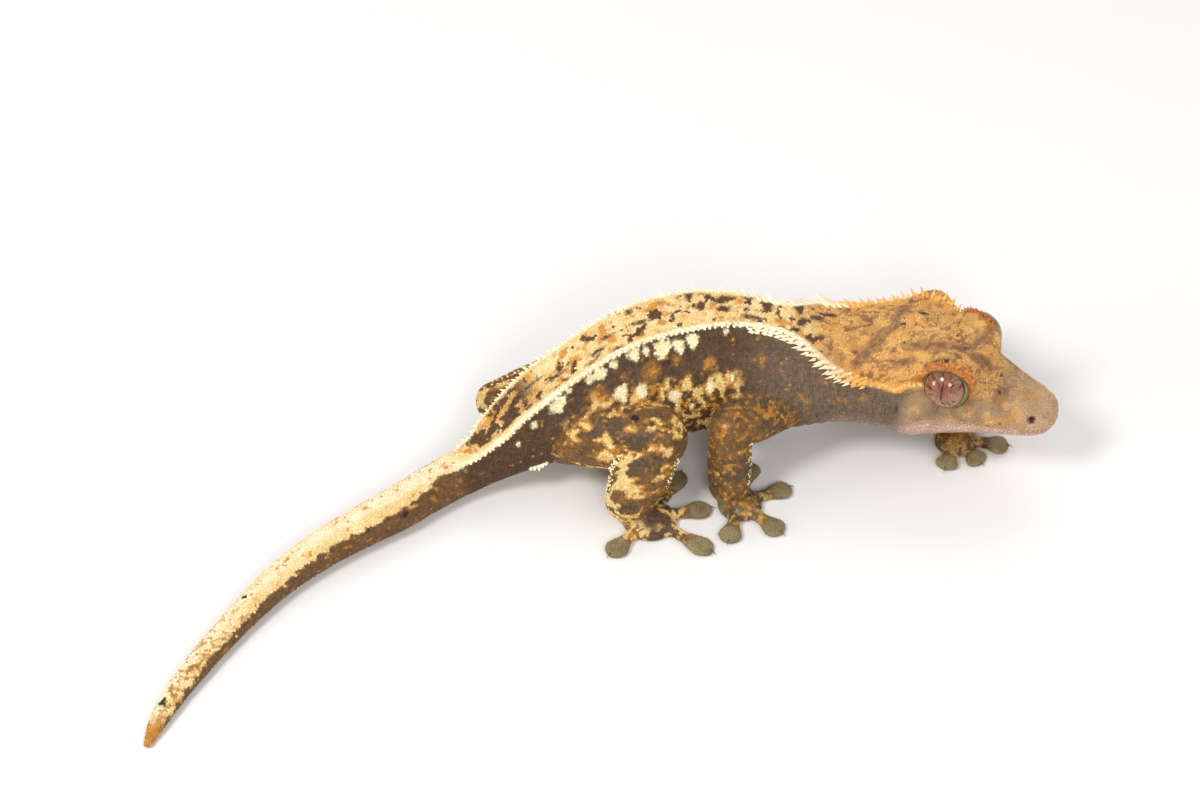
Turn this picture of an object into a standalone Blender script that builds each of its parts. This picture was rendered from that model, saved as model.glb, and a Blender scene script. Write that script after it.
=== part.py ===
"""A crested gecko at life size, standing on the floor with its head turned and its tail laid down behind it.

The animal faces +X, with its right side towards -Y, and rests on its toe pads and its tail at z = 0.
All driving sizes are in millimetres; make_object turns them into metres.
"""

import math
import random

import bmesh
import bpy
import numpy as np
from mathutils import Matrix, Vector

MM = 0.001
GAP = 0.3
MIDDLE = (1.58, -22.0)

# The head turns to the animal's right; its axis lies along the mouth line, back from the snout tip.
SNOUT_TIP = np.array((74.1, -6.0, 13.3))
HEAD_YAW = math.radians(-25.5)
HEAD_PITCH = math.radians(-1.5)

# Head sections: distance behind the snout tip, half width, rise above and drop below the mouth line,
# angle of the crest above the side, height of the crest ridge.
HEAD_SECTIONS = (
    (0.0, 1.2, 0.8, 0.8, 50, 0.0),
    (0.6, 2.8, 2.0, 1.8, 50, 0.0),
    (1.8, 4.0, 3.2, 2.6, 50, 0.0),
    (4.0, 5.0, 4.2, 3.3, 52, 0.0),
    (7.0, 6.0, 5.2, 3.9, 54, 0.0),
    (10.5, 7.2, 6.6, 4.5, 56, 0.1),
    (14.0, 8.6, 8.4, 5.4, 56, 0.3),
    (17.5, 10.2, 9.4, 6.5, 51, 0.7),
    (21.0, 11.6, 9.7, 7.6, 42, 1.1),
    (24.5, 11.7, 9.5, 8.4, 35, 1.4),
    (28.5, 10.9, 9.1, 8.4, 31, 1.2),
)

# Trunk and tail sections: middle of the section, half width, rise, drop, crest angle, crest ridge.
NECK = (44.3, 4.9, 14.3, 10.2, 8.9, 8.4, 32, 1.0)
NAPE = (38.8, 5.0, 14.5, 9.4, 9.0, 8.8, 38, 0.8)
SHOULDERS = (31.5, 5.0, 14.5, 10.2, 10.0, 9.8, 64, 0.6)
RIBS = (23.8, 6.2, 14.4, 11.2, 10.9, 11.0, 75, 0.5)
BELLY = (15.4, 6.7, 14.2, 11.4, 10.9, 11.4, 71, 0.5)
LOIN = (6.6, 4.4, 13.7, 11.0, 10.6, 11.0, 68, 0.5)
RUMP = (-2.0, 0.8, 12.2, 9.2, 9.0, 9.2, 64, 0.5)
HIPS = (-10.5, -3.5, 9.8, 7.2, 6.8, 7.2, 59, 0.5)
VENT = (-15.0, -5.5, 7.4, 5.6, 5.2, 5.4, 58, 0.35)
TAIL_ROOT = (-19.9, -7.6, 5.0, 4.2, 3.8, 4.3, 60, 0.2)
TRUNK_SECTIONS = (NECK, NAPE, SHOULDERS, RIBS, BELLY, LOIN, RUMP, HIPS, VENT, TAIL_ROOT)

# The tail lies on the floor: middle of the section in plan, and its radius.
TAIL_SECTIONS = (
    (-25.2, -10.5, 3.8),
    (-29.2, -13.6, 3.7),
    (-33.3, -17.0, 3.65),
    (-37.5, -19.9, 3.5),
    (-44.8, -25.3, 3.15),
    (-51.6, -31.9, 2.8),
    (-57.5, -39.8, 2.4),
    (-63.0, -48.4, 2.15),
    (-67.7, -57.1, 1.75),
    (-69.9, -62.3, 1.3),
    (-70.9, -65.4, 0.7),
)
TAIL_CREST_ANGLE = 62
FLOOR_BITE = 0.12

# Sections turn slowly round the bend of the neck: their direction is read this far to each side.
AXIS_REACH = 4.5

# The way out of the skin is read against a point this far inside it.
INNER_DEPTH = 3.0

# Where the parts of the body meet, as distance behind the snout tip along the backbone.
HEAD_END = 29.0
NECK_END = 43.0
CHEST_END = 62.0
BELLY_END = 80.0
HIPS_END = 96.5
TAIL_FRONT_END = 124.0
TAIL_MIDDLE_END = 150.0

# The eye sits behind the snout, above the mouth line and out from the head's axis.
EYE_BACK = 16.5
EYE_OUT = 6.1
EYE_UP = 6.6
EYE_RADIUS = 4.1
EYE_FORWARD = math.radians(12)
EYE_UPWARD = math.radians(8)

# The lids are the rim left where the socket breaks out of a dome that sits a little deeper than the eye.
LID_DOME_RADIUS = 5.0
LID_DOME_SUNK = 1.0

# The brow arches over the eye and carries the lash-like spines.
BROW_RADIUS = 4.7
BROW_THICKNESS = 0.8
BROW_OUT = 1.3
BROW_TURNS = (10, 35, 60, 85, 110, 135, 160, 180)
BROW_TAPER = (0.5, 0.8, 1.0, 1.0, 1.0, 0.95, 0.8, 0.5)
BROW_SPINES = 9
BROW_SPINE_TURNS = (38, 158)
BROW_SPINE_LENGTH = 1.1
BROW_SPINE_RADIUS = 0.38

NOSTRIL_BACK = 2.4
NOSTRIL_ANGLE = 30
NOSTRIL_RADIUS = 0.6
EAR_BACK = 26.6
EAR_ANGLE = 7
EAR_RADIUS = 1.0
MOUTH_BACK = 21.0
MOUTH_DEPTH = 0.35
MOUTH_FADE = 3.0
LIP_HEIGHT = 0.18
LIP_WIDTH = 9

# Angle over which a crest ridge falls away to each side.
CREST_WIDTH = 9

# Crest spines: distance along the backbone, and their length there, from the brow to the root of the tail.
CREST_START = 20.4
CREST_END = 103.0
CREST_SPACING = 1.65
CREST_LENGTHS = (
    (20.0, 0.9),
    (23.0, 1.6),
    (28.0, 1.1),
    (34.0, 1.2),
    (39.0, 2.0),
    (46.0, 1.7),
    (51.0, 1.0),
    (96.0, 0.9),
    (103.0, 0.6),
)
SPINE_RADIUS = 0.42
SPINE_SIDES = 4
SPINE_ROOT = 0.7
SPINE_ROOT_WIDER = 1.35
SPINE_TIP = 0.07
SPINE_LEAN = 0.45
# The long fringe of the neck and shoulder lies further back, between these two places.
FRINGE_START = 33.0
FRINGE_END = 52.0
FRINGE_LEAN = 1.0
# A spine leans back, so it keeps further from the joint behind it than from the one before it.
JOIN_MARGIN_FRONT = 1.5
JOIN_MARGIN_BACK = 2.6

# Short spines down the front of each knee and the back of each heel, and a spur on each side of the vent.
# A fringe is the way it faces, and the shares of the shin between which it runs.
EDGE_SPINES = 7
EDGE_SPINE_LENGTH = 0.7
EDGE_SPINE_RADIUS = 0.34
KNEE_FRINGE = ((1, -0.3, 0), 0.15, 0.6)
HEEL_FRINGE = ((-1, -0.2, 0), 0.5, 1.0)
FAR_HEEL_FRINGE = ((0, 0.3, 1), 0.55, 0.95)
SPUR_PLACE = 93.0
SPUR_ANGLE = 24
SPUR_LENGTH = 1.3
SPUR_RADIUS = 0.7

CLAW_LENGTH = 1.1
CLAW_RADIUS = 0.32
CLAW_HEIGHT = 0.62
CLAW_SUNK = 0.9
CLAW_DROP = 0.25

# Limb segments: start, end, start radius, end radius.
RIGHT_UPPER_ARM = ((31.0, -1.0, 13.2), (21.2, -8.4, 13.8), 4.2, 3.8)
RIGHT_FOREARM = ((21.1, -8.4, 13.0), (21.0, -11.6, 3.9), 3.5, 3.4)
LEFT_UPPER_ARM = ((35.5, 8.5, 12.5), (46.0, 18.4, 7.2), 4.2, 3.3)
LEFT_FOREARM = ((46.2, 18.0, 5.9), (56.8, 5.6, 2.8), 2.9, 2.4)
RIGHT_THIGH = ((-5.2, -4.8, 9.8), (9.0, -9.6, 12.8), 5.7, 5.3)
RIGHT_SHIN = ((8.4, -10.2, 11.4), (5.0, -15.2, 4.6), 5.0, 4.3)
LEFT_THIGH = ((-5.5, 2.8, 9.8), (2.4, 13.6, 8.8), 5.2, 4.7)
LEFT_SHIN = ((1.8, 13.9, 7.8), (-17.0, 7.0, 4.4), 4.1, 3.6)

# Rings in each rounded end of a limb segment, and how much its middle swells.
TUBE_DOME_STEPS = 3
TUBE_SWELL = 0.08

# Feet: middle of the palm, its radius, and where each toe ends, from the inner toe to the outer.
RIGHT_HAND = ((22.8, -13.0), 3.7, ((19.4, -5.4), (24.9, -3.4), (31.3, -8.9), (29.6, -19.4), (20.8, -21.4)))
LEFT_HAND = ((58.8, 1.6), 3.5, ((57.8, 10.0), (65.4, 7.7), (67.5, 0.5), (62.8, -3.5), (56.7, -4.8)))
RIGHT_FOOT = ((8.1, -16.6), 4.5, ((9.4, -6.2), (13.4, -5.4), (18.2, -13.6), (18.2, -23.6), (1.5, -24.3)))
LEFT_FOOT = ((-13.0, 10.8), 4.0, ((-5.0, 7.6), (-3.6, 12.4), (-5.2, 17.6), (-10.4, 18.4), (-15.2, 16.4)))
PALM_HEIGHT = 2.6
TOE_HALF_WIDTH = 1.2
PAD_HALF_WIDTH = 2.05

SKIN_ORANGE = (0.45, 0.24, 0.08)
SKIN_CREAM = (0.87, 0.68, 0.36)
SKIN_BROWN = (0.17, 0.12, 0.07)
SKIN_HEAD = (0.64, 0.42, 0.2)
SKIN_TOE = (0.2, 0.17, 0.1)
IRIS = (0.36, 0.2, 0.17)

# Points round a section: up each side to the crest, across the back, and round the underside.
BODY_STEPS = (5, 6, 10)
TAIL_STEPS = (3, 4, 8)


def head_axes():
    """Forward, left and up of the head."""
    forward = np.array(
        (
            math.cos(HEAD_PITCH) * math.cos(HEAD_YAW),
            math.cos(HEAD_PITCH) * math.sin(HEAD_YAW),
            math.sin(HEAD_PITCH),
        )
    )
    left = np.array((-math.sin(HEAD_YAW), math.cos(HEAD_YAW), 0.0))
    return forward, left, np.cross(forward, left)


def backbone_rows():
    """One row for each section from the snout to the tail tip, its shape after its middle."""
    forward = head_axes()[0]
    rows = [(*(SNOUT_TIP - forward * back), *shape) for back, *shape in HEAD_SECTIONS]
    rows += TRUNK_SECTIONS
    for x, y, radius in TAIL_SECTIONS:
        rows.append((x, y, radius - FLOOR_BITE, radius, radius, radius, TAIL_CREST_ANGLE, 0.0))
    return np.array(rows, float)


ROWS = backbone_rows()
KNOTS = np.concatenate([[0.0], np.cumsum(np.linalg.norm(np.diff(ROWS[:, :3], axis=0), axis=1))])
SLOPES = np.gradient(ROWS, KNOTS, axis=0)
BODY_LENGTH = KNOTS[-1]


def shape_at(place):
    """The section at one place along the backbone, read from a smooth curve through all rows."""
    index = int(np.clip(np.searchsorted(KNOTS, place) - 1, 0, len(KNOTS) - 2))
    span = KNOTS[index + 1] - KNOTS[index]
    share = (place - KNOTS[index]) / span
    first = 2 * share**3 - 3 * share**2 + 1
    first_slope = share**3 - 2 * share**2 + share
    last_slope = share**3 - share**2
    return (
        first * ROWS[index]
        + (1 - first) * ROWS[index + 1]
        + span * (first_slope * SLOPES[index] + last_slope * SLOPES[index + 1])
    )


def axes_at(place):
    """Forward, left and up of the body at one place along the backbone."""
    step = AXIS_REACH
    ahead = shape_at(max(place - step, 0.0))[:3]
    behind = shape_at(min(place + step, BODY_LENGTH))[:3]
    forward = (ahead - behind) / np.linalg.norm(ahead - behind)
    left = np.cross((0.0, 0.0, 1.0), forward)
    left /= np.linalg.norm(left)
    return forward, left, np.cross(forward, left)


def skin_point(place, angle, lift=0.0):
    """A point on the skin, at an angle in degrees: 0 is the left side, 90 the back, 180 the right side."""
    middle_x, middle_y, middle_z, half_width, rise, drop, _, _ = shape_at(place)
    _, left, up = axes_at(place)
    turn = math.radians(angle)
    height = rise if math.sin(turn) > 0 else drop
    across = (half_width + lift) * math.cos(turn)
    above = (height + lift) * math.sin(turn)
    point = np.array((middle_x, middle_y, middle_z)) + left * across + up * above
    point[2] = max(point[2], 0.0)
    return point


def outward_at(place, angle):
    """The way out of the body at one point of the skin."""
    outward = skin_point(place, angle) - skin_point(place, angle, -INNER_DEPTH)
    return outward / np.linalg.norm(outward)


def ring_angles(crest, bunching, steps):
    """Angles round one section, with a point on each crest; bunching draws points towards the mouth line."""
    side_steps, back_steps, under_steps = steps
    side = [crest * (step / side_steps) ** bunching for step in range(side_steps)]
    back = [crest + (180 - 2 * crest) * step / back_steps for step in range(back_steps + 1)]
    far_side = [180 - angle for angle in reversed(side[1:])] + [180.0]
    half = under_steps // 2
    under = [90 * (step / half) ** bunching for step in range(1, half + 1)]
    return side + back + far_side + [180 + a for a in under] + [360 - a for a in reversed(under[:-1])]


def crest_lift(place, angle):
    """How far a point stands off the plain section: the crest ridges, the lips and the mouth line."""
    crest, ridge = shape_at(place)[6:]
    lift = 0.0
    for centre in (crest, 180 - crest):
        lift += ridge * math.exp(-(((angle - centre) / CREST_WIDTH) ** 2))
    if place < MOUTH_BACK:
        fade = min(1.0, (MOUTH_BACK - place) / MOUTH_FADE)
        from_mouth = min(abs(angle), abs(angle - 180), abs(angle - 360))
        if from_mouth < 0.01:
            lift -= MOUTH_DEPTH * fade
        elif from_mouth < LIP_WIDTH:
            lift += LIP_HEIGHT * fade
    return lift


def body_length_mesh(start, end, rings, bunching=1.0, grow=0.0, steps=BODY_STEPS):
    """A closed loft of the body between two places, grown by the same amount all round."""
    points = []
    for place in np.linspace(start, end, rings):
        crest = shape_at(place)[6]
        for angle in ring_angles(crest, bunching, steps):
            points.append(skin_point(place, angle, crest_lift(place, angle) + grow))
    return loft(points, rings)


def loft(points, rings):
    """A bmesh of rings with equal numbers of points, joined by quads and closed by a fan at each end."""
    mesh = bmesh.new()
    verts = [mesh.verts.new(point) for point in points]
    count = len(verts) // rings
    for ring in range(rings - 1):
        low = ring * count
        for side in range(count):
            after = (side + 1) % count
            mesh.faces.new(
                (verts[low + side], verts[low + after], verts[low + count + after], verts[low + count + side])
            )
    for low in (0, (rings - 1) * count):
        ends = verts[low : low + count]
        middle = mesh.verts.new(sum((v.co for v in ends), Vector()) / count)
        for side in range(count):
            mesh.faces.new((ends[side], ends[(side + 1) % count], middle))
    bmesh.ops.recalc_face_normals(mesh, faces=mesh.faces)
    bmesh.ops.triangulate(mesh, faces=mesh.faces)
    return mesh


def tube_mesh(start, end, start_radius, end_radius, sides=14, grow=0.0):
    """A tapered limb segment with rounded ends."""
    start, end = Vector(start), Vector(end)
    along = (end - start).normalized()
    across = along.orthogonal().normalized()
    third = along.cross(across)
    length = (end - start).length
    dome = TUBE_DOME_STEPS
    stations = []
    for step in range(1, dome + 1):
        turn = math.radians(90 * step / dome)
        stations.append((-math.cos(turn) * start_radius, math.sin(turn) * start_radius))
    for share in (0.25, 0.5, 0.75):
        muscle = 1 + TUBE_SWELL * math.sin(math.pi * share)
        stations.append((share * length, (start_radius + (end_radius - start_radius) * share) * muscle))
    for step in range(dome, 0, -1):
        turn = math.radians(90 * step / dome)
        stations.append((length + math.cos(turn) * end_radius, math.sin(turn) * end_radius))
    points = []
    for distance, radius in stations:
        shift = grow if distance > length / 2 else -grow
        centre = start + along * (distance + (shift if radius < 0.95 * start_radius else 0))
        for side in range(sides):
            turn = 2 * math.pi * side / sides
            points.append(centre + (across * math.cos(turn) + third * math.sin(turn)) * (radius + grow))
    return loft(points, len(stations))


def toe_mesh(palm, end, order):
    """A toe: narrow at the root, with a broad flat pad at its end."""
    root = Vector((*palm, 0.0))
    tip = Vector((*end, 0.0))
    along = (tip - root).normalized()
    across = Vector((-along.y, along.x, 0.0))
    length = (tip - root).length
    root_lift = 0.4 + 0.05 * order
    # Share of the toe's length, half width, height of the top, height of the sole.
    stations = (
        (0.15, TOE_HALF_WIDTH * 1.1, 2.1, root_lift),
        (0.40, TOE_HALF_WIDTH, 1.7, 0.25),
        (0.58, TOE_HALF_WIDTH * 1.05, 1.45, 0.0),
        (0.70, PAD_HALF_WIDTH * 0.85, 1.3, 0.0),
        (0.82, PAD_HALF_WIDTH, 1.2, 0.0),
        (0.93, PAD_HALF_WIDTH * 0.85, 1.0, 0.0),
        (1.00, PAD_HALF_WIDTH * 0.35, 0.75, 0.1),
    )
    outline = ((-0.85, 0.0), (0.85, 0.0), (1.0, 0.4), (0.5, 1.0), (-0.5, 1.0), (-1.0, 0.4))
    points = []
    for share, half_width, top, sole in stations:
        for side, height in outline:
            flat = root + along * (length * share) + across * (side * half_width)
            points.append((flat.x, flat.y, sole + (top - sole) * height))
    return loft(points, len(stations))


def palm_mesh(palm, radius):
    """The palm: a low dome whose underside stays just clear of the floor."""
    mesh = bmesh.new()
    bmesh.ops.create_uvsphere(mesh, u_segments=12, v_segments=6, radius=1.0)
    bmesh.ops.scale(mesh, vec=(radius, radius, PALM_HEIGHT), verts=mesh.verts)
    for vert in mesh.verts:
        vert.co.z = max(vert.co.z, 0.0)
    bmesh.ops.remove_doubles(mesh, verts=mesh.verts, dist=0.01)
    bmesh.ops.dissolve_degenerate(mesh, dist=0.01, edges=mesh.edges)
    bmesh.ops.translate(mesh, vec=(*palm, 0.3), verts=mesh.verts)
    bmesh.ops.recalc_face_normals(mesh, faces=mesh.faces)
    return mesh


def path_mesh(points, radii, sides=6):
    """A closed tube of changing radius through a few points, its sections square to its path."""
    points = [Vector(point) for point in points]
    across = (points[1] - points[0]).orthogonal().normalized()
    rings = []
    for index, (point, radius) in enumerate(zip(points, radii)):
        along = points[min(index + 1, len(points) - 1)] - points[max(index - 1, 0)]
        along.normalize()
        across = (across - along * across.dot(along)).normalized()
        third = along.cross(across)
        for side in range(sides):
            turn = 2 * math.pi * side / sides
            rings.append(point + (across * math.cos(turn) + third * math.sin(turn)) * radius)
    return loft(rings, len(points))


def spine_mesh(root, direction, length, radius=SPINE_RADIUS, sunk=SPINE_ROOT):
    """A tapered spine whose root is sunk into the skin at one point."""
    root = Vector(root)
    direction = Vector(direction).normalized()
    depth = length + sunk
    mesh = bmesh.new()
    bmesh.ops.create_cone(
        mesh,
        cap_ends=True,
        segments=SPINE_SIDES,
        radius1=radius * SPINE_ROOT_WIDER,
        radius2=SPINE_TIP,
        depth=depth,
    )
    turn = Vector((0, 0, 1)).rotation_difference(direction).to_matrix().to_4x4()
    mesh.transform(Matrix.Translation(root + direction * (length - sunk) / 2) @ turn)
    return mesh


def ball_mesh(centre, radius, segments=16):
    mesh = bmesh.new()
    bmesh.ops.create_uvsphere(mesh, u_segments=segments, v_segments=segments // 2, radius=radius)
    bmesh.ops.translate(mesh, vec=Vector(centre), verts=mesh.verts)
    return mesh


def make_object(name, mesh, collection, material=None):
    """Turns a bmesh in millimetres into a named object in metres, about the model's middle."""
    shift = Matrix.Translation((-MIDDLE[0] * MM, -MIDDLE[1] * MM, 0)) @ Matrix.Scale(MM, 4)
    mesh.transform(shift)
    bmesh.ops.triangulate(mesh, faces=mesh.faces)
    data = bpy.data.meshes.new(name)
    mesh.to_mesh(data)
    mesh.free()
    made = bpy.data.objects.new(name, data)
    collection.objects.link(made)
    if material:
        data.materials.append(material)
    return made


def skin_material(name, colour, roughness=0.6):
    material = bpy.data.materials.new(name)
    material.use_nodes = True
    shader = material.node_tree.nodes["Principled BSDF"]
    shader.inputs["Base Color"].default_value = (*colour, 1)
    shader.inputs["Roughness"].default_value = roughness
    shader.inputs["Metallic"].default_value = 0.0
    return material


def helper_collection(name, meshes):
    """A hidden collection of closed helper objects for one Boolean."""
    helpers = bpy.data.collections.new(name)
    bpy.context.scene.collection.children.link(helpers)
    helpers.hide_render = True
    for number, mesh in enumerate(meshes):
        helper = make_object(f"{name}_{number}", mesh, helpers)
        helper.hide_render = True
        helper.display_type = "WIRE"
    return helpers


def combine(made, operation, meshes):
    """Joins or cuts the meshes in one applied Boolean, then keeps the largest closed surface."""
    if not meshes:
        return
    helpers = helper_collection(f"{made.name}_{operation.lower()}", meshes)
    modifier = made.modifiers.new(operation.lower(), "BOOLEAN")
    modifier.operation = operation
    modifier.operand_type = "COLLECTION"
    modifier.collection = helpers
    modifier.solver = "EXACT"
    bpy.context.view_layer.update()
    graph = bpy.context.evaluated_depsgraph_get()
    result = bpy.data.meshes.new_from_object(made.evaluated_get(graph))
    made.modifiers.remove(modifier)
    before = made.data
    made.data = result
    result.name = before.name
    bpy.data.meshes.remove(before)
    for helper in list(helpers.objects):
        bpy.data.objects.remove(helper)
    bpy.data.collections.remove(helpers)
    keep_largest(made)


def keep_largest(made):
    """Drops every closed surface of the mesh but the largest."""
    mesh = bmesh.new()
    mesh.from_mesh(made.data)
    bmesh.ops.remove_doubles(mesh, verts=mesh.verts, dist=1e-6)
    bmesh.ops.dissolve_degenerate(mesh, dist=1e-6, edges=mesh.edges)
    bmesh.ops.triangulate(mesh, faces=mesh.faces)
    unseen = set(mesh.verts)
    shells = []
    while unseen:
        waiting = [unseen.pop()]
        shell = set(waiting)
        while waiting:
            vert = waiting.pop()
            for edge in vert.link_edges:
                other = edge.other_vert(vert)
                if other in unseen:
                    unseen.remove(other)
                    shell.add(other)
                    waiting.append(other)
        shells.append(shell)
    shells.sort(key=len)
    for shell in shells[:-1]:
        bmesh.ops.delete(mesh, geom=list(shell), context="VERTS")
    mesh.to_mesh(made.data)
    mesh.free()


def finish(made):
    made.data.shade_smooth()
    made.data.set_sharp_from_angle(angle=math.radians(40))


def head_place(back, out, up):
    """A point of the head, from its distance behind the snout, left of the axis and above the mouth line."""
    forward, left, above = head_axes()
    return SNOUT_TIP - forward * back + left * out + above * up


def crest_spines(start, end):
    """The spines of both crests between two places, each leaning back and varied a little."""
    chance = random.Random(round(start * 10))
    meshes = []
    lengths = np.array(CREST_LENGTHS)
    count = round((CREST_END - CREST_START) / CREST_SPACING)
    for number in range(count + 1):
        place = CREST_START + (CREST_END - CREST_START) * number / count
        if not start + JOIN_MARGIN_FRONT < place < end - JOIN_MARGIN_BACK:
            continue
        crest, ridge = shape_at(place)[6:]
        forward = axes_at(place)[0]
        backward = FRINGE_LEAN if FRINGE_START < place < FRINGE_END else SPINE_LEAN
        for angle in (crest, 180 - crest):
            length = np.interp(place, *lengths.T) * chance.uniform(0.85, 1.15)
            root = skin_point(place, angle, ridge * 0.7)
            outward = outward_at(place, angle)
            lean = forward * backward * chance.uniform(0.6, 1.4)
            meshes.append(spine_mesh(root, outward - lean, length))
    return meshes


def eye_direction(side):
    """Which way an eye looks: out to its side, a little forward and a little up."""
    forward, left, above = head_axes()
    level = left * side * math.cos(EYE_FORWARD) + forward * math.sin(EYE_FORWARD)
    return level * math.cos(EYE_UPWARD) + above * math.sin(EYE_UPWARD)


def brow_point(side, turn, radius, out):
    """A point round the eye: turn 0 is straight ahead of it, 90 above it and 180 behind it."""
    look = eye_direction(side)
    above = head_axes()[2]
    above = above - look * (above @ look)
    above /= np.linalg.norm(above)
    ahead = np.cross(above, look) * side
    ring = ahead * math.cos(math.radians(turn)) + above * math.sin(math.radians(turn))
    return head_place(EYE_BACK, side * EYE_OUT, EYE_UP) + look * out + ring * radius, ring, look


def brow_meshes(side):
    """The arch over an eye, and the spines that stand on it like lashes."""
    arch = [brow_point(side, turn, BROW_RADIUS - GAP, BROW_OUT)[0] for turn in BROW_TURNS]
    meshes = [path_mesh(arch, [BROW_THICKNESS * share for share in BROW_TAPER])]
    first, last = BROW_SPINE_TURNS
    for number in range(BROW_SPINES):
        share = number / (BROW_SPINES - 1)
        root, ring, look = brow_point(side, first + (last - first) * share, BROW_RADIUS, BROW_OUT + GAP)
        length = BROW_SPINE_LENGTH * (0.7 + 0.3 * math.sin(math.pi * share))
        meshes.append(spine_mesh(root, ring + look, length, BROW_SPINE_RADIUS))
    return meshes


def make_head(parts):
    head = make_object(
        "head",
        body_length_mesh(0.0, HEAD_END - GAP / 2, 22, bunching=1.5),
        parts,
        skin_material("head_skin", SKIN_HEAD),
    )
    eyes = {side: head_place(EYE_BACK, side * EYE_OUT, EYE_UP) for side in (1, -1)}
    domes = [(eye - eye_direction(side) * LID_DOME_SUNK, LID_DOME_RADIUS, 18) for side, eye in eyes.items()]
    combine(head, "UNION", [ball_mesh(*dome) for dome in domes])
    combine(head, "UNION", [mesh for side in eyes for mesh in brow_meshes(side)] + crest_spines(0, HEAD_END))
    cutters = [ball_mesh(eye, EYE_RADIUS + GAP, 16) for eye in eyes.values()]
    for angle in (NOSTRIL_ANGLE, 180 - NOSTRIL_ANGLE):
        cutters.append(ball_mesh(skin_point(NOSTRIL_BACK, angle), NOSTRIL_RADIUS, 8))
    for angle in (EAR_ANGLE, 180 - EAR_ANGLE):
        cutters.append(ball_mesh(skin_point(EAR_BACK, angle), EAR_RADIUS, 10))
    combine(head, "DIFFERENCE", cutters)
    finish(head)
    for name, side in (("left_eye", 1), ("right_eye", -1)):
        eye = make_object(
            name,
            ball_mesh(head_place(EYE_BACK, side * EYE_OUT, EYE_UP), EYE_RADIUS, 16),
            parts,
            skin_material(name + "_clear", IRIS, 0.1),
        )
        finish(eye)


def vent_spurs():
    """The blunt white spur on each side of the vent."""
    meshes = []
    for angle in (360 - SPUR_ANGLE, 180 + SPUR_ANGLE):
        meshes.append(
            spine_mesh(skin_point(SPUR_PLACE, angle), outward_at(SPUR_PLACE, angle), SPUR_LENGTH, SPUR_RADIUS)
        )
    return meshes


def edge_spines(segment, direction, first, last):
    """A row of short spines along one edge of a limb segment, between two shares of its length."""
    start, end, start_radius, end_radius = segment
    start, end = Vector(start), Vector(end)
    along = (end - start).normalized()
    outward = Vector(direction)
    outward = (outward - along * outward.dot(along)).normalized()
    meshes = []
    for number in range(EDGE_SPINES):
        share = first + (last - first) * number / (EDGE_SPINES - 1)
        radius = start_radius + (end_radius - start_radius) * share
        root = start.lerp(end, share) + outward * radius
        meshes.append(spine_mesh(root, outward + along * 0.4, EDGE_SPINE_LENGTH, EDGE_SPINE_RADIUS))
    return meshes


def claw_mesh(palm, end):
    """The small claw that reaches past a toe pad and down towards the floor."""
    tip = Vector((*end, CLAW_HEIGHT))
    along = (tip - Vector((*palm, CLAW_HEIGHT))).normalized()
    root = tip - along * CLAW_DROP
    return spine_mesh(root, along - Vector((0, 0, CLAW_DROP)), CLAW_LENGTH, CLAW_RADIUS, CLAW_SUNK)


def make_trunk(parts):
    lengths = (
        ("neck", HEAD_END, NECK_END, 8, SKIN_HEAD),
        ("chest", NECK_END, CHEST_END, 9, SKIN_BROWN),
        ("belly", CHEST_END, BELLY_END, 9, SKIN_BROWN),
        ("hips", BELLY_END, HIPS_END, 8, SKIN_BROWN),
        ("tail_front", HIPS_END, TAIL_FRONT_END, 11, SKIN_CREAM),
        ("tail_middle", TAIL_FRONT_END, TAIL_MIDDLE_END, 9, SKIN_CREAM),
        ("tail_tip", TAIL_MIDDLE_END, BODY_LENGTH, 11, SKIN_CREAM),
    )
    for name, start, end, rings, colour in lengths:
        last = end if end == BODY_LENGTH else end - GAP / 2
        steps = TAIL_STEPS if name.startswith("tail") else BODY_STEPS
        mesh = body_length_mesh(start + GAP / 2, last, rings, steps=steps)
        made = make_object(name, mesh, parts, skin_material(name + "_skin", colour))
        growths = crest_spines(start, end)
        if start < SPUR_PLACE < end:
            growths += vent_spurs()
        combine(made, "UNION", growths)
        finish(made)


def trunk_clearance():
    """The head's rear, the trunk and the root of the tail, grown by the gap that a limb keeps to them."""
    return body_length_mesh(HEAD_END - 8, HIPS_END + 8, 34, grow=GAP)


def make_limb(parts, name, limb, upper, lower, foot, edges=()):
    """An upper and lower limb segment and a foot, each cut clear of what it grows from."""
    upper_name, lower_name, foot_name = (f"{name}_{segment}" for segment in limb)
    palm, radius, toes = foot
    made = make_object(upper_name, tube_mesh(*upper), parts, skin_material(upper_name + "_skin", SKIN_ORANGE))
    combine(made, "DIFFERENCE", [trunk_clearance()])
    finish(made)
    made = make_object(lower_name, tube_mesh(*lower), parts, skin_material(lower_name + "_skin", SKIN_ORANGE))
    combine(made, "UNION", [mesh for edge in edges for mesh in edge_spines(lower, *edge)])
    combine(made, "DIFFERENCE", [trunk_clearance(), tube_mesh(*upper, grow=GAP)])
    finish(made)
    skin = skin_material(foot_name + "_skin", SKIN_TOE)
    made = make_object(foot_name, palm_mesh(palm, radius), parts, skin)
    growths = [toe_mesh(palm, toe, order) for order, toe in enumerate(toes)]
    growths += [claw_mesh(palm, toe) for toe in toes]
    combine(made, "UNION", growths)
    combine(made, "DIFFERENCE", [tube_mesh(*lower, grow=GAP)])
    finish(made)


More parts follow.
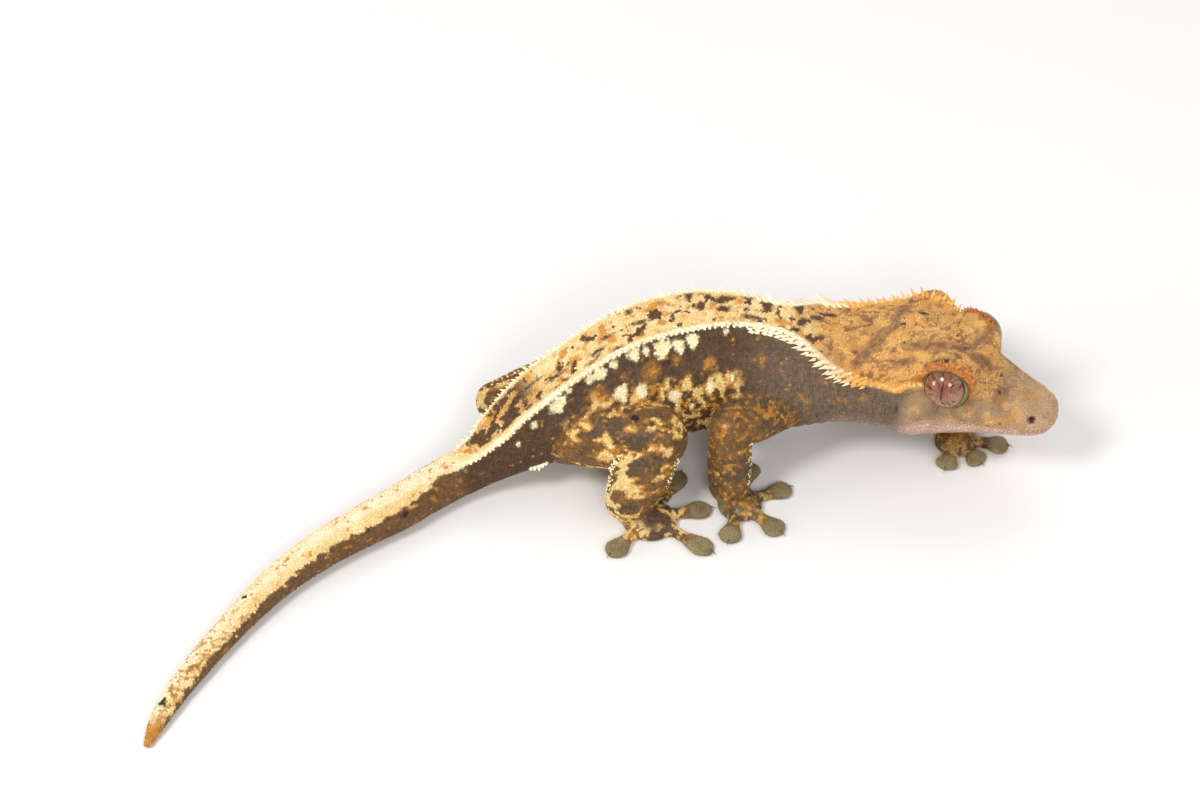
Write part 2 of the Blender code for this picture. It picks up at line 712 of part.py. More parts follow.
def main():
    for old in list(bpy.data.objects):
        bpy.data.objects.remove(old)
    parts = bpy.data.collections.new("crested_gecko")
    bpy.context.scene.collection.children.link(parts)
    make_head(parts)
    make_trunk(parts)
    arm = ("upper_arm", "forearm", "front_foot")
    leg = ("thigh", "shin", "hind_foot")
    make_limb(parts, "right", arm, RIGHT_UPPER_ARM, RIGHT_FOREARM, RIGHT_HAND)
    make_limb(parts, "left", arm, LEFT_UPPER_ARM, LEFT_FOREARM, LEFT_HAND)
    make_limb(parts, "right", leg, RIGHT_THIGH, RIGHT_SHIN, RIGHT_FOOT, (KNEE_FRINGE, HEEL_FRINGE))
    make_limb(parts, "left", leg, LEFT_THIGH, LEFT_SHIN, LEFT_FOOT, (FAR_HEEL_FRINGE,))


if __name__ == "__main__":
    main()
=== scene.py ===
"""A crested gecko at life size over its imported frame: skin, scales, crests, eyes, claws, floor and light."""

import math

import bpy
import numpy as np
from mathutils import Matrix, Vector
from mathutils.bvhtree import BVHTree
from mathutils.kdtree import KDTree


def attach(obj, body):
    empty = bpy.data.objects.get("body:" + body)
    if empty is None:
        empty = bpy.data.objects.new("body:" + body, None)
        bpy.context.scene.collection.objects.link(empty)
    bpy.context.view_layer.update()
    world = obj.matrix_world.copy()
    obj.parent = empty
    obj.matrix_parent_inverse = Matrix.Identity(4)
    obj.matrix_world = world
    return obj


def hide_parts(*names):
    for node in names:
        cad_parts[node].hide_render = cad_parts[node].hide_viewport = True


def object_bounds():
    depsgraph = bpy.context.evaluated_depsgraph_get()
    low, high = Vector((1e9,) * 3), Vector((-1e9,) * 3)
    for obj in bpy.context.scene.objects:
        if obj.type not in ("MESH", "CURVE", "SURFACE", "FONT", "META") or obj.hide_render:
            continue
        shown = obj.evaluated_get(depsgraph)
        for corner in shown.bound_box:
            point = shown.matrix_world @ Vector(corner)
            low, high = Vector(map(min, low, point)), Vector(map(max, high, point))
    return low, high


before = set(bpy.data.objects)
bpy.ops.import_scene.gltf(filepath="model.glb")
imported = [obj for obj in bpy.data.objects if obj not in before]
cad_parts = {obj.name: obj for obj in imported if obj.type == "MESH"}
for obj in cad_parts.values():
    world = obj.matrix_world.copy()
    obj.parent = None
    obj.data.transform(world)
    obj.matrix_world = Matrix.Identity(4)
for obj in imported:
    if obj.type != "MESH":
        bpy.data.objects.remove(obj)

cad_box = [list(corner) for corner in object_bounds()]

# Studio. A pale seamless sheet under soft panels; a long lens looks down on the animal's right side, and
# three round lamps in front give the three small lights that a glossy eye shows.
CAMERA_AIM = Vector((-0.00158, 0.03380, 0.0))
CAMERA_DISTANCE = 0.9
CAMERA_DOWN = math.radians(45)
LENS = 162
FLOOR_HALF = 3.0


def linear(code):
    """An sRGB hex colour as linear red, green, blue and alpha."""
    values = [int(code[i : i + 2], 16) / 255 for i in (1, 3, 5)]
    return (*[v / 12.92 if v <= 0.04045 else ((v + 0.055) / 1.055) ** 2.4 for v in values], 1.0)


def add_node(tree, kind, settings=(), links=(), out=0):
    """Adds a node and gives one of its outputs: settings are attributes or inputs, links are pairs of an
    input and another node's output."""
    node = tree.nodes.new("ShaderNode" + kind)
    for name, value in dict(settings).items():
        if isinstance(name, str) and hasattr(node, name):
            setattr(node, name, value)
        else:
            node.inputs[name].default_value = value
    for target, source in links:
        tree.links.new(source, node.inputs[target])
    return node.outputs[out]


def blend(tree, share, low, high):
    """The colour between two by a share from 0 to 1, each a hex code or the output of a node."""
    mixed = add_node(tree, "Mix", {"data_type": "RGBA"}, [(0, share)], 2)
    for number, colour in ((6, low), (7, high)):
        if isinstance(colour, str):
            mixed.node.inputs[number].default_value = linear(colour)
        else:
            tree.links.new(colour, mixed.node.inputs[number])
    return mixed


def new_material(name, finish):
    """A material with its Principled shader set to a finish, as (material, tree, shader)."""
    material = bpy.data.materials.new(name)
    material.use_nodes = True
    shader = material.node_tree.nodes["Principled BSDF"]
    for socket, value in finish.items():
        shader.inputs[socket].default_value = value
    return material, material.node_tree, shader


camera_data = bpy.data.cameras.new("camera")
camera_data.sensor_width = 36
camera_data.lens = LENS
camera_data.clip_start = 0.01
camera = bpy.data.objects.new("camera", camera_data)
bpy.context.scene.collection.objects.link(camera)
backward = Vector((0, -math.cos(CAMERA_DOWN), math.sin(CAMERA_DOWN)))
camera.location = CAMERA_AIM + backward * CAMERA_DISTANCE
camera.rotation_euler = (math.pi / 2 - CAMERA_DOWN, 0, 0)
bpy.context.scene.camera = camera

bpy.ops.object.select_all(action="DESELECT")
bpy.ops.mesh.primitive_plane_add(size=2 * FLOOR_HALF, location=(0, 0, 0))
floor = bpy.context.object
floor.name = "floor_sheet"
material, tree, shader = new_material("matt_paper_floor", {"Roughness": 0.85, "Specular IOR Level": 0.15})
place = add_node(tree, "TexCoord", out="Object")
mottle = add_node(tree, "TexNoise", {"Scale": 6.0, "Detail": 2.0}, [("Vector", place)])
tree.links.new(blend(tree, mottle, "#F2F1F0", "#EDECEB"), shader.inputs["Base Color"])
floor.data.materials.append(material)

WARM_WHITE = (1.0, 0.985, 0.96)


def add_panel(name, location, aim, size, power, shape="SQUARE"):
    """A soft studio panel of a size in metres, turned towards a point."""
    data = bpy.data.lights.new(name, "AREA")
    data.shape = shape
    data.size = size
    data.energy = power
    data.color = WARM_WHITE
    panel = bpy.data.objects.new(name, data)
    bpy.context.scene.collection.objects.link(panel)
    panel.location = location
    panel.rotation_euler = (Vector(aim) - Vector(location)).to_track_quat("-Z", "Y").to_euler()


# The three lamps stand where the animal's right eye mirrors them to the camera.
EYE_PLACE = Vector((0.0575, 0.0045, 0.021))
LAMP_DISTANCE = 0.6
LAMP_SIZE = 0.18
LAMPS = (((-0.527, -0.356, 0.771), 1.6), ((-0.95, -0.20, 0.20), 0.8), ((0.073, -0.806, 0.587), 1.0))
for number, (way, power) in enumerate(LAMPS):
    lamp_place = EYE_PLACE + Vector(way) * LAMP_DISTANCE
    add_panel(f"round_lamp_{number}", lamp_place, EYE_PLACE, LAMP_SIZE, power, "DISK")
add_panel("fill_panel", (0.55, -0.35, 0.55), (0.0, 0.0, 0.0), 0.6, 1.6)
add_panel("back_panel", (0.1, 0.65, 0.6), (0.0, 0.0, 0.0), 0.6, 2.2)
world = bpy.data.worlds.new("studio")
bpy.context.scene.world = world
world.use_nodes = True
world.node_tree.nodes["Background"].inputs["Color"].default_value = linear("#F7F7FA")
world.node_tree.nodes["Background"].inputs["Strength"].default_value = 0.45
bpy.context.scene.view_settings.view_transform = "Standard"

# Skin. One thin soft skin over the whole animal, loose at the neck, flank and joints; it is lofted along the
# backbone and limbs as the frame is, drawn together into one surface and worked into lids, lips and pits.
MM = 0.001
MIDDLE = np.array((1.58, -22.0, 0.0))
SNOUT_TIP = np.array((74.1, -6.0, 13.3))
HEAD_YAW = math.radians(-25.5)
HEAD_PITCH = math.radians(-1.5)
# Back from the snout, half width, rise above and drop below the mouth line, crest angle, crest ridge.
HEAD_SECTIONS = (
    (0.0, 1.2, 0.8, 0.8, 50, 0.0),
    (0.6, 2.8, 2.0, 1.8, 50, 0.0),
    (1.8, 4.0, 3.2, 2.6, 50, 0.0),
    (4.0, 5.0, 4.2, 3.3, 52, 0.0),
    (7.0, 6.0, 5.2, 3.9, 54, 0.0),
    (10.5, 7.2, 6.6, 4.5, 56, 0.1),
    (14.0, 8.6, 8.4, 5.4, 56, 0.3),
    (17.5, 10.2, 9.4, 6.5, 51, 0.7),
    (21.0, 11.6, 9.7, 7.6, 42, 1.1),
    (24.5, 11.7, 9.5, 8.4, 35, 1.4),
)
# Middle of the section, half width, rise, drop, crest angle, crest ridge.
TRUNK_SECTIONS = (
    (47.9, 5.3, 13.9, 11.2, 9.1, 8.4, 31, 1.2),
    (44.3, 4.9, 14.3, 10.2, 8.9, 8.4, 32, 1.0),
    (38.8, 5.0, 14.5, 9.4, 9.0, 8.8, 38, 0.8),
    (31.5, 5.0, 14.5, 10.2, 10.0, 9.8, 71, 0.6),
    (23.8, 6.2, 14.4, 11.2, 10.9, 11.0, 75, 0.5),
    (15.4, 6.7, 14.2, 11.4, 10.9, 11.4, 71, 0.5),
    (6.6, 4.4, 13.7, 11.0, 10.6, 11.0, 71, 0.5),
    (-2.0, 0.8, 12.2, 9.2, 9.0, 9.2, 69, 0.5),
    (-10.5, -3.5, 9.8, 7.2, 6.8, 7.2, 63, 0.5),
    (-15.0, -5.5, 7.4, 5.6, 5.2, 5.4, 58, 0.35),
    (-19.9, -7.6, 5.0, 4.2, 3.8, 4.3, 60, 0.2),
)
# The tail lies on the floor: middle of the section in plan, and its radius.
TAIL_SECTIONS = (
    (-25.2, -10.5, 3.8),
    (-29.2, -13.6, 3.7),
    (-33.3, -17.0, 3.65),
    (-37.5, -19.9, 3.5),
    (-44.8, -25.3, 3.15),
    (-51.6, -31.9, 2.8),
    (-57.5, -39.8, 2.4),
    (-63.0, -48.4, 2.15),
    (-67.7, -57.1, 1.75),
    (-69.9, -62.3, 1.3),
    (-70.9, -65.4, 0.7),
)
TAIL_CREST_ANGLE = 62
FLOOR_BITE = 0.12
AXIS_REACH = 4.5
SKIN_SLACK = 0.12
# Limb segments: start, end, start radius, end radius.
LIMBS = {
    "right_upper_arm": ((31.0, -1.0, 13.2), (21.2, -8.4, 13.8), 4.2, 3.8),
    "right_forearm": ((21.1, -8.4, 13.0), (21.0, -11.6, 3.9), 3.5, 3.4),
    "left_upper_arm": ((35.5, 8.5, 12.5), (46.0, 18.4, 7.2), 4.2, 3.3),
    "left_forearm": ((46.2, 18.0, 5.9), (56.8, 5.6, 2.8), 2.9, 2.4),
    "right_thigh": ((-5.2, -4.8, 9.8), (9.0, -9.6, 12.8), 5.7, 5.3),
    "right_shin": ((8.4, -10.2, 11.4), (5.0, -15.2, 4.6), 5.0, 4.3),
    "left_thigh": ((-5.5, 2.8, 9.8), (2.4, 13.6, 8.8), 5.2, 4.7),
    "left_shin": ((1.8, 13.9, 7.8), (-17.0, 7.0, 4.4), 4.1, 3.6),
}
# Feet, the right and left front and the right and left hind one: middle of the palm, its radius, and where
# each toe ends, from the inner toe to the outer.
FEET = (
    ((22.8, -13.0), 3.7, ((19.4, -5.4), (24.9, -3.4), (31.3, -8.9), (29.6, -19.4), (20.8, -21.4))),
    ((58.8, 1.6), 3.5, ((57.8, 10.0), (65.4, 7.7), (67.5, 0.5), (62.8, -3.5), (56.7, -4.8))),
    ((8.1, -16.6), 4.5, ((9.4, -6.2), (13.4, -5.4), (18.2, -13.6), (18.2, -23.6), (1.5, -24.3))),
    ((-13.0, 10.8), 4.0, ((-5.0, 7.6), (-3.6, 12.4), (-5.2, 17.6), (-10.4, 18.4), (-15.2, 16.4))),
)
PALM_HEIGHT = 2.6
TOE_HALF_WIDTH = 1.2
# What stands for a distance from something that isn't near.
FAR_AWAY = 99.0

# The grain of the surface that the parts are drawn together on, and the rounds of smoothing after it.
SKIN_GRAIN = 0.42
SMOOTH_ROUNDS = 4
SEAM_ROUNDS, SEAM_REACH = 14, 2.2
BEND_ROUNDS = 30
DOME_ROUNDS = 14


def head_axes():
    """Forward, left and up of the head."""
    level = math.cos(HEAD_PITCH)
    forward = np.array((level * math.cos(HEAD_YAW), level * math.sin(HEAD_YAW), math.sin(HEAD_PITCH)))
    left = np.array((-math.sin(HEAD_YAW), math.cos(HEAD_YAW), 0.0))
    return forward, left, np.cross(forward, left)


def head_place(back, out, up):
    """A point of the head, from its distance behind the snout, left of the axis and above the mouth line."""
    forward, left, above = head_axes()
    return SNOUT_TIP - forward * back + left * out + above * up


rows = [(*(SNOUT_TIP - head_axes()[0] * back), *shape) for back, *shape in HEAD_SECTIONS]
rows += TRUNK_SECTIONS
rows += [(x, y, r - FLOOR_BITE, r, r, r, TAIL_CREST_ANGLE, 0.0) for x, y, r in TAIL_SECTIONS]
ROWS = np.array(rows, float)
KNOTS = np.concatenate([[0.0], np.cumsum(np.linalg.norm(np.diff(ROWS[:, :3], axis=0), axis=1))])
SLOPES = np.gradient(ROWS, KNOTS, axis=0)
BODY_LENGTH = KNOTS[-1]


def sections_at(places):
    """The section at each place along the backbone, from a smooth curve through all rows."""
    places = np.clip(np.atleast_1d(places).astype(float), 0, BODY_LENGTH)
    index = np.clip(np.searchsorted(KNOTS, places) - 1, 0, len(KNOTS) - 2)
    span = (KNOTS[index + 1] - KNOTS[index])[:, None]
    share = (places[:, None] - KNOTS[index][:, None]) / span
    first = 2 * share**3 - 3 * share**2 + 1
    first_slope = share**3 - 2 * share**2 + share
    last_slope = share**3 - share**2
    return (
        first * ROWS[index]
        + (1 - first) * ROWS[index + 1]
        + span * (first_slope * SLOPES[index] + last_slope * SLOPES[index + 1])
    )


def axes_at(places):
    """Forward, left and up of the body at each place along the backbone."""
    places = np.atleast_1d(places).astype(float)
    ahead = sections_at(np.maximum(places - AXIS_REACH, 0.0))[:, :3]
    behind = sections_at(np.minimum(places + AXIS_REACH, BODY_LENGTH))[:, :3]
    forward = ahead - behind
    forward /= np.linalg.norm(forward, axis=1)[:, None]
    left = np.cross((0.0, 0.0, 1.0), forward)
    left /= np.linalg.norm(left, axis=1)[:, None]
    return forward, left, np.cross(forward, left)


def skin_points(places, angles, lifts=0.0):
    """Points of the skin, at angles in degrees: 0 is the left side, 90 the back and 180 the right side."""
    shape = sections_at(places)
    _, left, up = axes_at(places)
    turn = np.radians(angles)
    height = np.where(np.sin(turn) > 0, shape[:, 4], shape[:, 5])
    across = (shape[:, 3] + lifts) * np.cos(turn)
    above = (height + lifts) * np.sin(turn)
    points = shape[:, :3] + left * across[:, None] + up * above[:, None]
    points[:, 2] = np.maximum(points[:, 2], 0.0)
    return points


def hill(values, centre, width, power=2):
    """1 at the centre, falling smoothly away from it to about a third at the width."""
    return np.exp(-(((values - centre) / width) ** power))


def ridge_lift(places, angles):
    """How far the skin stands off the plain section along the two crests."""
    shape = sections_at(places)
    return sum(shape[:, 7] * hill(angles, centre, 8) for centre in (shape[:, 6], 180 - shape[:, 6]))


def join_rings(points, rings):
    """Corners and faces of a closed loft through rings with equal numbers of points."""
    count = len(points) // rings
    low = (np.arange(rings - 1) * count)[:, None]
    side = np.arange(count)[None, :]
    after = (side + 1) % count
    quads = np.stack([low + side, low + after, low + count + after, low + count + side], axis=-1)
    faces = [tuple(quad) for quad in quads.reshape(-1, 4).tolist()]
    faces.append(tuple(range(count)))
    faces.append(tuple(range(len(points) - 1, len(points) - 1 - count, -1)))
    return points, faces


def gather(lofts):
    """Several lofts as the corners and faces of one mesh."""
    starts = np.cumsum([0] + [len(points) for points, _ in lofts]).tolist()
    faces = [
        tuple(corner + start for corner in face) for start, (_, part) in zip(starts, lofts) for face in part
    ]
    return np.concatenate([points for points, _ in lofts]), faces


def to_mesh(name, points, faces):
    """A mesh object, from points in millimetres about the photo's aim to metres in the row frame."""
    data = bpy.data.meshes.new(name)
    data.from_pydata(((np.asarray(points) - MIDDLE) * MM).tolist(), [], faces)
    made = bpy.data.objects.new(name, data)
    bpy.context.scene.collection.objects.link(made)
    return made


def limb_points(start, end, start_radius, end_radius, sides=40, dome=8):
    """A tapered limb segment with rounded ends and a swell of muscle."""
    start, end = np.array(start), np.array(end)
    length = np.linalg.norm(end - start)
    along = (end - start) / length
    across = np.array(Vector(along).orthogonal().normalized())
    third = np.cross(along, across)
    stations = []
    for step in range(1, dome + 1):
        turn = math.radians(90 * step / dome)
        stations.append((-math.cos(turn) * start_radius, math.sin(turn) * start_radius))
    for share in np.linspace(0.1, 0.9, 9):
        muscle = 1 + 0.08 * math.sin(math.pi * share)
        stations.append((share * length, (start_radius + (end_radius - start_radius) * share) * muscle))
    for step in range(dome, 0, -1):
        turn = math.radians(90 * step / dome)
        stations.append((length + math.cos(turn) * end_radius, math.sin(turn) * end_radius))
    turns = np.linspace(0, 2 * math.pi, sides, endpoint=False)
    ring = across * np.cos(turns)[:, None] + third * np.sin(turns)[:, None]
    points = np.concatenate([start + along * distance + ring * radius for distance, radius in stations])
    return join_rings(points, len(stations))


def toe_points(palm, end, order):
    """A toe: narrow at the root, swelling to a broad flat pad with a rounded tip."""
    root, tip = np.array((*palm, 0.0)), np.array((*end, 0.0))
    length = np.linalg.norm(tip - root)
    along = (tip - root) / length
    across = np.array((-along[1], along[0], 0.0))
    # Half width, top and sole at shares of its length.
    shares = np.array((0.15, 0.40, 0.58, 0.70, 0.82, 0.93, 1.00))
    widths = np.array((1.0, 0.78, 0.86, 1.38, 1.71, 1.40, 0.45)) * TOE_HALF_WIDTH
    tops = np.array((2.1, 1.7, 1.45, 1.35, 1.25, 1.05, 0.7))
    soles = np.array((0.4 + 0.05 * order, 0.25, 0.0, 0.0, 0.0, 0.0, 0.12))
    fine = np.linspace(0.15, 1.0, 18)
    turns = np.linspace(0, 2 * math.pi, 20, endpoint=False)
    points = []
    for share in fine:
        half_width, top, sole = (np.interp(share, shares, values) for values in (widths, tops, soles))
        side = np.sign(np.cos(turns)) * np.abs(np.cos(turns)) ** 0.8 * half_width
        height = sole + (top - sole) * (0.5 + 0.5 * np.sign(np.sin(turns)) * np.abs(np.sin(turns)) ** 0.7)
        ring = root + along * length * share + across * side[:, None]
        ring[:, 2] = height
        points.append(ring)
    return join_rings(np.concatenate(points), len(fine))


WEB_REACH = 0.5
WEB_HOLLOW = 0.14
WEB_WIDEST = math.radians(105)


def web_points(palm, first, second):
    """The web between two toes, hollowed along its free edge, or nothing where they stand too far apart."""
    palm = np.array(palm)
    arms = [np.array(toe) - palm for toe in (first, second)]
    spread = math.acos(arms[0] @ arms[1] / np.prod(np.linalg.norm(arms, axis=1)))
    if spread > WEB_WIDEST:
        return None
    outline = [palm]
    for share in np.linspace(0, 1, 8):
        reach = WEB_REACH - WEB_HOLLOW * math.sin(math.pi * share)
        outline.append(palm + (arms[0] * (1 - share) + arms[1] * share) * reach)
    outline = np.array(outline)
    levels = [np.column_stack([outline, np.full(len(outline), height)]) for height in (0.1, 1.15)]
    return join_rings(np.concatenate(levels), 2)


def ball_points(centre, radii, flat=0.0, steps=24):
    """An egg of three radii round a point, cut level at its lowest."""
    rings = []
    turns = np.linspace(0, 2 * math.pi, steps, endpoint=False)
    for tilt in np.linspace(-88, 88, steps // 2):
        level, height = math.cos(math.radians(tilt)), math.sin(math.radians(tilt))
        rings.append(np.stack([np.cos(turns) * level, np.sin(turns) * level, np.full(steps, height)], axis=1))
    points = np.concatenate(rings) * np.array(radii) + np.array(centre)
    points[:, 2] = np.maximum(points[:, 2], flat)
    return join_rings(points, steps // 2)


EYE_BACK = 16.9
EYE_OUT = 6.1
EYE_UP = 6.25
EYE_RADIUS = 4.1
EYE_FORWARD = math.radians(8)
EYE_UPWARD = math.radians(8)
LID_DOME_RADIUS = 4.95
LID_DOME_SUNK = 1.0
LID_OPENING = 3.85
# How many degrees each eye's upper lid comes down and its front corner opens, by side: -1 is the right eye.
UPPER_LIDS = {-1: 10.0, 1: 4.0}
FRONT_LIDS = {-1: 0.0, 1: 16.0}


def eye_direction(side):
    """Which way an eye looks: out to its side, a little forward and a little up."""
    forward, left, above = head_axes()
    level = left * side * math.cos(EYE_FORWARD) + forward * math.sin(EYE_FORWARD)
    return level * math.cos(EYE_UPWARD) + above * math.sin(EYE_UPWARD)


def eye_axes(side):
    """The eye's look, the way behind round it, the way above it, and its centre."""
    look = eye_direction(side)
    above = head_axes()[2]
    above = above - look * (above @ look)
    above /= np.linalg.norm(above)
    return look, np.cross(above, look) * side, above, head_place(EYE_BACK, side * EYE_OUT, EYE_UP)


def lid_edge(turn, side):
    """How far off the eye's look the edge of the opening stands, by the turn from behind, in degrees."""
    above, ahead = (np.clip(share, 0, 1) for share in (np.sin(np.radians(turn)), -np.cos(np.radians(turn))))
    middle = math.degrees(math.asin(LID_OPENING / EYE_RADIUS))
    return middle - UPPER_LIDS[side] * above**1.5 + FRONT_LIDS[side] * ahead**1.5


body_rings = 420
body_sides = 120
places = np.repeat(np.linspace(0.0, BODY_LENGTH, body_rings), body_sides)
angles = np.tile(np.arange(body_sides) * 360 / body_sides, body_rings)
lofts = [join_rings(skin_points(places, angles, ridge_lift(places, angles) - SKIN_SLACK), body_rings)]
for start, end, start_radius, end_radius in LIMBS.values():
    lofts.append(limb_points(start, end, start_radius - SKIN_SLACK, end_radius - SKIN_SLACK))
for palm, radius, toes in FEET:
    lofts.append(ball_points((*palm, 0.3), (radius, radius, PALM_HEIGHT), flat=0.3))
    for order, toe in enumerate(toes):
        lofts.append(toe_points(palm, toe, order))
    for first, second in zip(toes, toes[1:]):
        web = web_points(palm, first, second)
        if web:
            lofts.append(web)
for side in (1, -1):
    look, _, _, centre = eye_axes(side)
    lofts.append(ball_points(centre - look * LID_DOME_SUNK, (LID_DOME_RADIUS,) * 3, steps=32))


def face_outward(made):
    """Turns every face of a mesh outward, and leaves the mesh chosen for the next operator."""
    bpy.ops.object.select_all(action="DESELECT")
    made.select_set(True)
    bpy.context.view_layer.objects.active = made
    bpy.ops.object.mode_set(mode="EDIT")
    bpy.ops.mesh.select_all(action="SELECT")
    bpy.ops.mesh.normals_make_consistent(inside=False)
    bpy.ops.object.mode_set(mode="OBJECT")


skin = to_mesh("skin", *gather(lofts))
face_outward(skin)
skin.data.remesh_voxel_size = SKIN_GRAIN * MM
bpy.ops.object.voxel_remesh()


def noise(points, size, seed=0, rounds=3):
    """Smooth random values from about -1 to 1 that change over a size in millimetres, one or one each way."""
    total, share, reach = np.zeros(len(points)), 1.0, 0.0
    for step in range(rounds):
        grid = points / np.asarray(size, float) * 2**step + 17.3 * (seed + 1) + 5.1 * step
        low = np.floor(grid).astype(np.int64)
        part = grid - low
        part = part * part * (3 - 2 * part)
        value = np.zeros(len(points))
        for corner in range(8):
            step_to = np.array((corner & 1, corner >> 1 & 1, corner >> 2 & 1))
            cell = low + step_to
            mixed = cell[:, 0] * 73856093 ^ cell[:, 1] * 19349663 ^ cell[:, 2] * 83492791 ^ (seed * 2654435)
            mixed = (mixed ^ (mixed >> 13)) * 1274126177
            mixed = (mixed ^ (mixed >> 16)) & 0xFFFF
            weight = np.prod(np.where(step_to == 1, part, 1 - part), axis=1)
            value += weight * (mixed / 0x7FFF - 1)
        total += value * share
        reach += share
        share *= 0.5
    return total / reach


def ease(values, low, high):
    """0 below low, 1 above high and a smooth rise between them."""
    share = np.clip((values - low) / (high - low), 0, 1)
    return share * share * (3 - 2 * share)


def fade(values, low, high):
    """1 below low, 0 above high and a smooth fall between them."""
    return 1 - ease(values, low, high)


def between(values, low, full, fading, gone):
    """0 outside low and gone, 1 from full to fading, with a smooth rise and fall between them."""
    return ease(values, low, full) * fade(values, fading, gone)


BACKBONE_PLACES = np.linspace(0, BODY_LENGTH, 260)
BACKBONE_POINTS = sections_at(BACKBONE_PLACES)[:, :3]
BACKBONE_SOFTNESS = 2.2


def along_of(points):
    """The place along the backbone that lies nearest, softened so that it doesn't jump inside a bend."""
    result = np.empty(len(points))
    for start in range(0, len(points), 20000):
        part = points[start : start + 20000]
        far = np.sum(part**2, axis=1)[:, None] + np.sum(BACKBONE_POINTS**2, axis=1)
        far = far - 2 * part @ BACKBONE_POINTS.T
        weight = np.exp(-(far - far.min(axis=1)[:, None]) / (2 * BACKBONE_SOFTNESS**2))
        result[start : start + 20000] = weight @ BACKBONE_PLACES / weight.sum(axis=1)
    return result


UNDER_JAW = 9.0
PAD_REACH = 1.2


def from_line(points, start, end):
    """How far along a line points lie, as a share from 0 to 1, and the way to each from the nearest place."""
    start, end = np.array(start), np.array(end)
    share = np.clip((points - start) @ (end - start) / np.sum((end - start) ** 2), 0, 1)
    return share, points - start - share[:, None] * (end - start)


def body_map(points):
    """Where points lie on the animal: place along it, height round it from -90 at the belly to 90 on the
    back, side, arc from the crest line, and how far off the trunk, the nearest limb and toe end they are."""
    along = along_of(points)
    shape = sections_at(along)
    _, left, up = axes_at(along)
    rel = points - shape[:, :3]
    out = np.sum(rel * left, axis=1) / shape[:, 3]
    high = np.sum(rel * up, axis=1)
    high = high / np.where(high > 0, shape[:, 4], shape[:, 5])
    mean_radius = (shape[:, 3] + shape[:, 4]) / 2
    height = np.degrees(np.arctan2(high, np.abs(out)))
    trunk = (np.hypot(out, high) - 1) * mean_radius
    limb, foot, pad = (np.full(len(points), FAR_AWAY) for _ in range(3))
    share_down, limb_low, limb_number = (np.zeros(len(points), kind) for kind in (float, float, int))
    for number, (name, (start, end, start_radius, end_radius)) in enumerate(LIMBS.items()):
        share, off = from_line(points, start, end)
        radius = start_radius + (end_radius - start_radius) * share
        gap = np.linalg.norm(off, axis=1) - radius
        nearer = gap < limb
        lower = name.endswith(("forearm", "shin"))
        limb = np.where(nearer, gap, limb)
        share_down = np.where(nearer, share + lower, share_down)
        limb_number = np.where(nearer, number, limb_number)
        limb_low = np.where(nearer, -off[:, 0 if lower else 2] / radius, limb_low)
    for palm, radius, toes in FEET:
        level = np.hypot(*(points[:, :2] - palm).T)
        foot = np.minimum(foot, np.where(points[:, 2] < PALM_HEIGHT + 1.5, level - radius, FAR_AWAY))
        for toe in toes:
            share, off = from_line(points[:, :2], palm, toe)
            gap = np.linalg.norm(off, axis=1) - TOE_HALF_WIDTH
            gap = np.where(points[:, 2] < PALM_HEIGHT + 0.6, gap, FAR_AWAY)
            foot = np.minimum(foot, gap)
            pad = np.where(gap < PAD_REACH, np.minimum(pad, 1 - share), pad)
    under_head = (along < 26) & (points[:, 2] > UNDER_JAW)
    return {
        "on_limb": ease(trunk - np.minimum(limb, foot), -0.6, 0.8) * ~under_head,
        "limb_low": limb_low,
        "along": along,
        "height": height,
        "right": out < 0,
        "across": np.radians(90 - height) * mean_radius * np.where(out < 0, 1, -1),
        "limb_number": limb_number,
        "sole": points[:, 2] < 0.5,
        "arc": np.radians(height - shape[:, 6]) * mean_radius,
        "trunk": trunk,
        "limb": limb,
        "share_down": share_down,
        "foot": foot,
        "pad": pad,
    }


def corners_of(made):
    """The mesh's corners in millimetres, and the way out at each."""
    count = len(made.data.vertices)
    points, normals = np.empty(count * 3), np.empty(count * 3)
    made.data.vertices.foreach_get("co", points)
    made.data.vertices.foreach_get("normal", normals)
    return points.reshape(-1, 3) / MM + MIDDLE, normals.reshape(-1, 3)


def set_corners(made, points):
    """Writes the mesh's corners back from millimetres."""
    made.data.vertices.foreach_set("co", ((points - MIDDLE) * MM).ravel())
    made.data.update()


def smooth_skin(rounds, weights=None):
    """Rounds of smoothing over the whole skin, or by a weight for each corner."""
    modifier = skin.modifiers.new("smooth", "SMOOTH")
    modifier.factor = 0.5
    modifier.iterations = rounds
    if weights is not None:
        group = skin.vertex_groups.new(name="seams")
        for level in range(1, 11):
            group.add(np.flatnonzero(np.round(weights * 10) == level).tolist(), level / 10, "REPLACE")
        modifier.vertex_group = "seams"
    bpy.ops.object.modifier_apply(modifier=modifier.name)
    skin.vertex_groups.clear()


smooth_skin(SMOOTH_ROUNDS)
where = body_map(corners_of(skin)[0])
gaps = np.sort(np.stack([where["trunk"], where["limb"], where["foot"]]), axis=0)
smooth_skin(SEAM_ROUNDS, np.clip(1 - (gaps[1] - gaps[0]) / SEAM_REACH, 0, 1) * (where["along"] > 26))
# The bend of the neck, where the sections cross on its inner side, and the foot of each eye's dome.
where = body_map(corners_of(skin)[0])
bend = between(where["along"], 23.5, 27.0, 36.0, 41.0) * ease(-where["arc"], -0.5, 1.5)
smooth_skin(BEND_ROUNDS, bend * (where["limb"] > 1.5) * (where["foot"] > 1.5))
for side in (1, -1):
    reach = np.linalg.norm(corners_of(skin)[0] - eye_axes(side)[3], axis=1)
    smooth_skin(DOME_ROUNDS, between(reach, 4.2, 5.0, 6.2, 7.4))

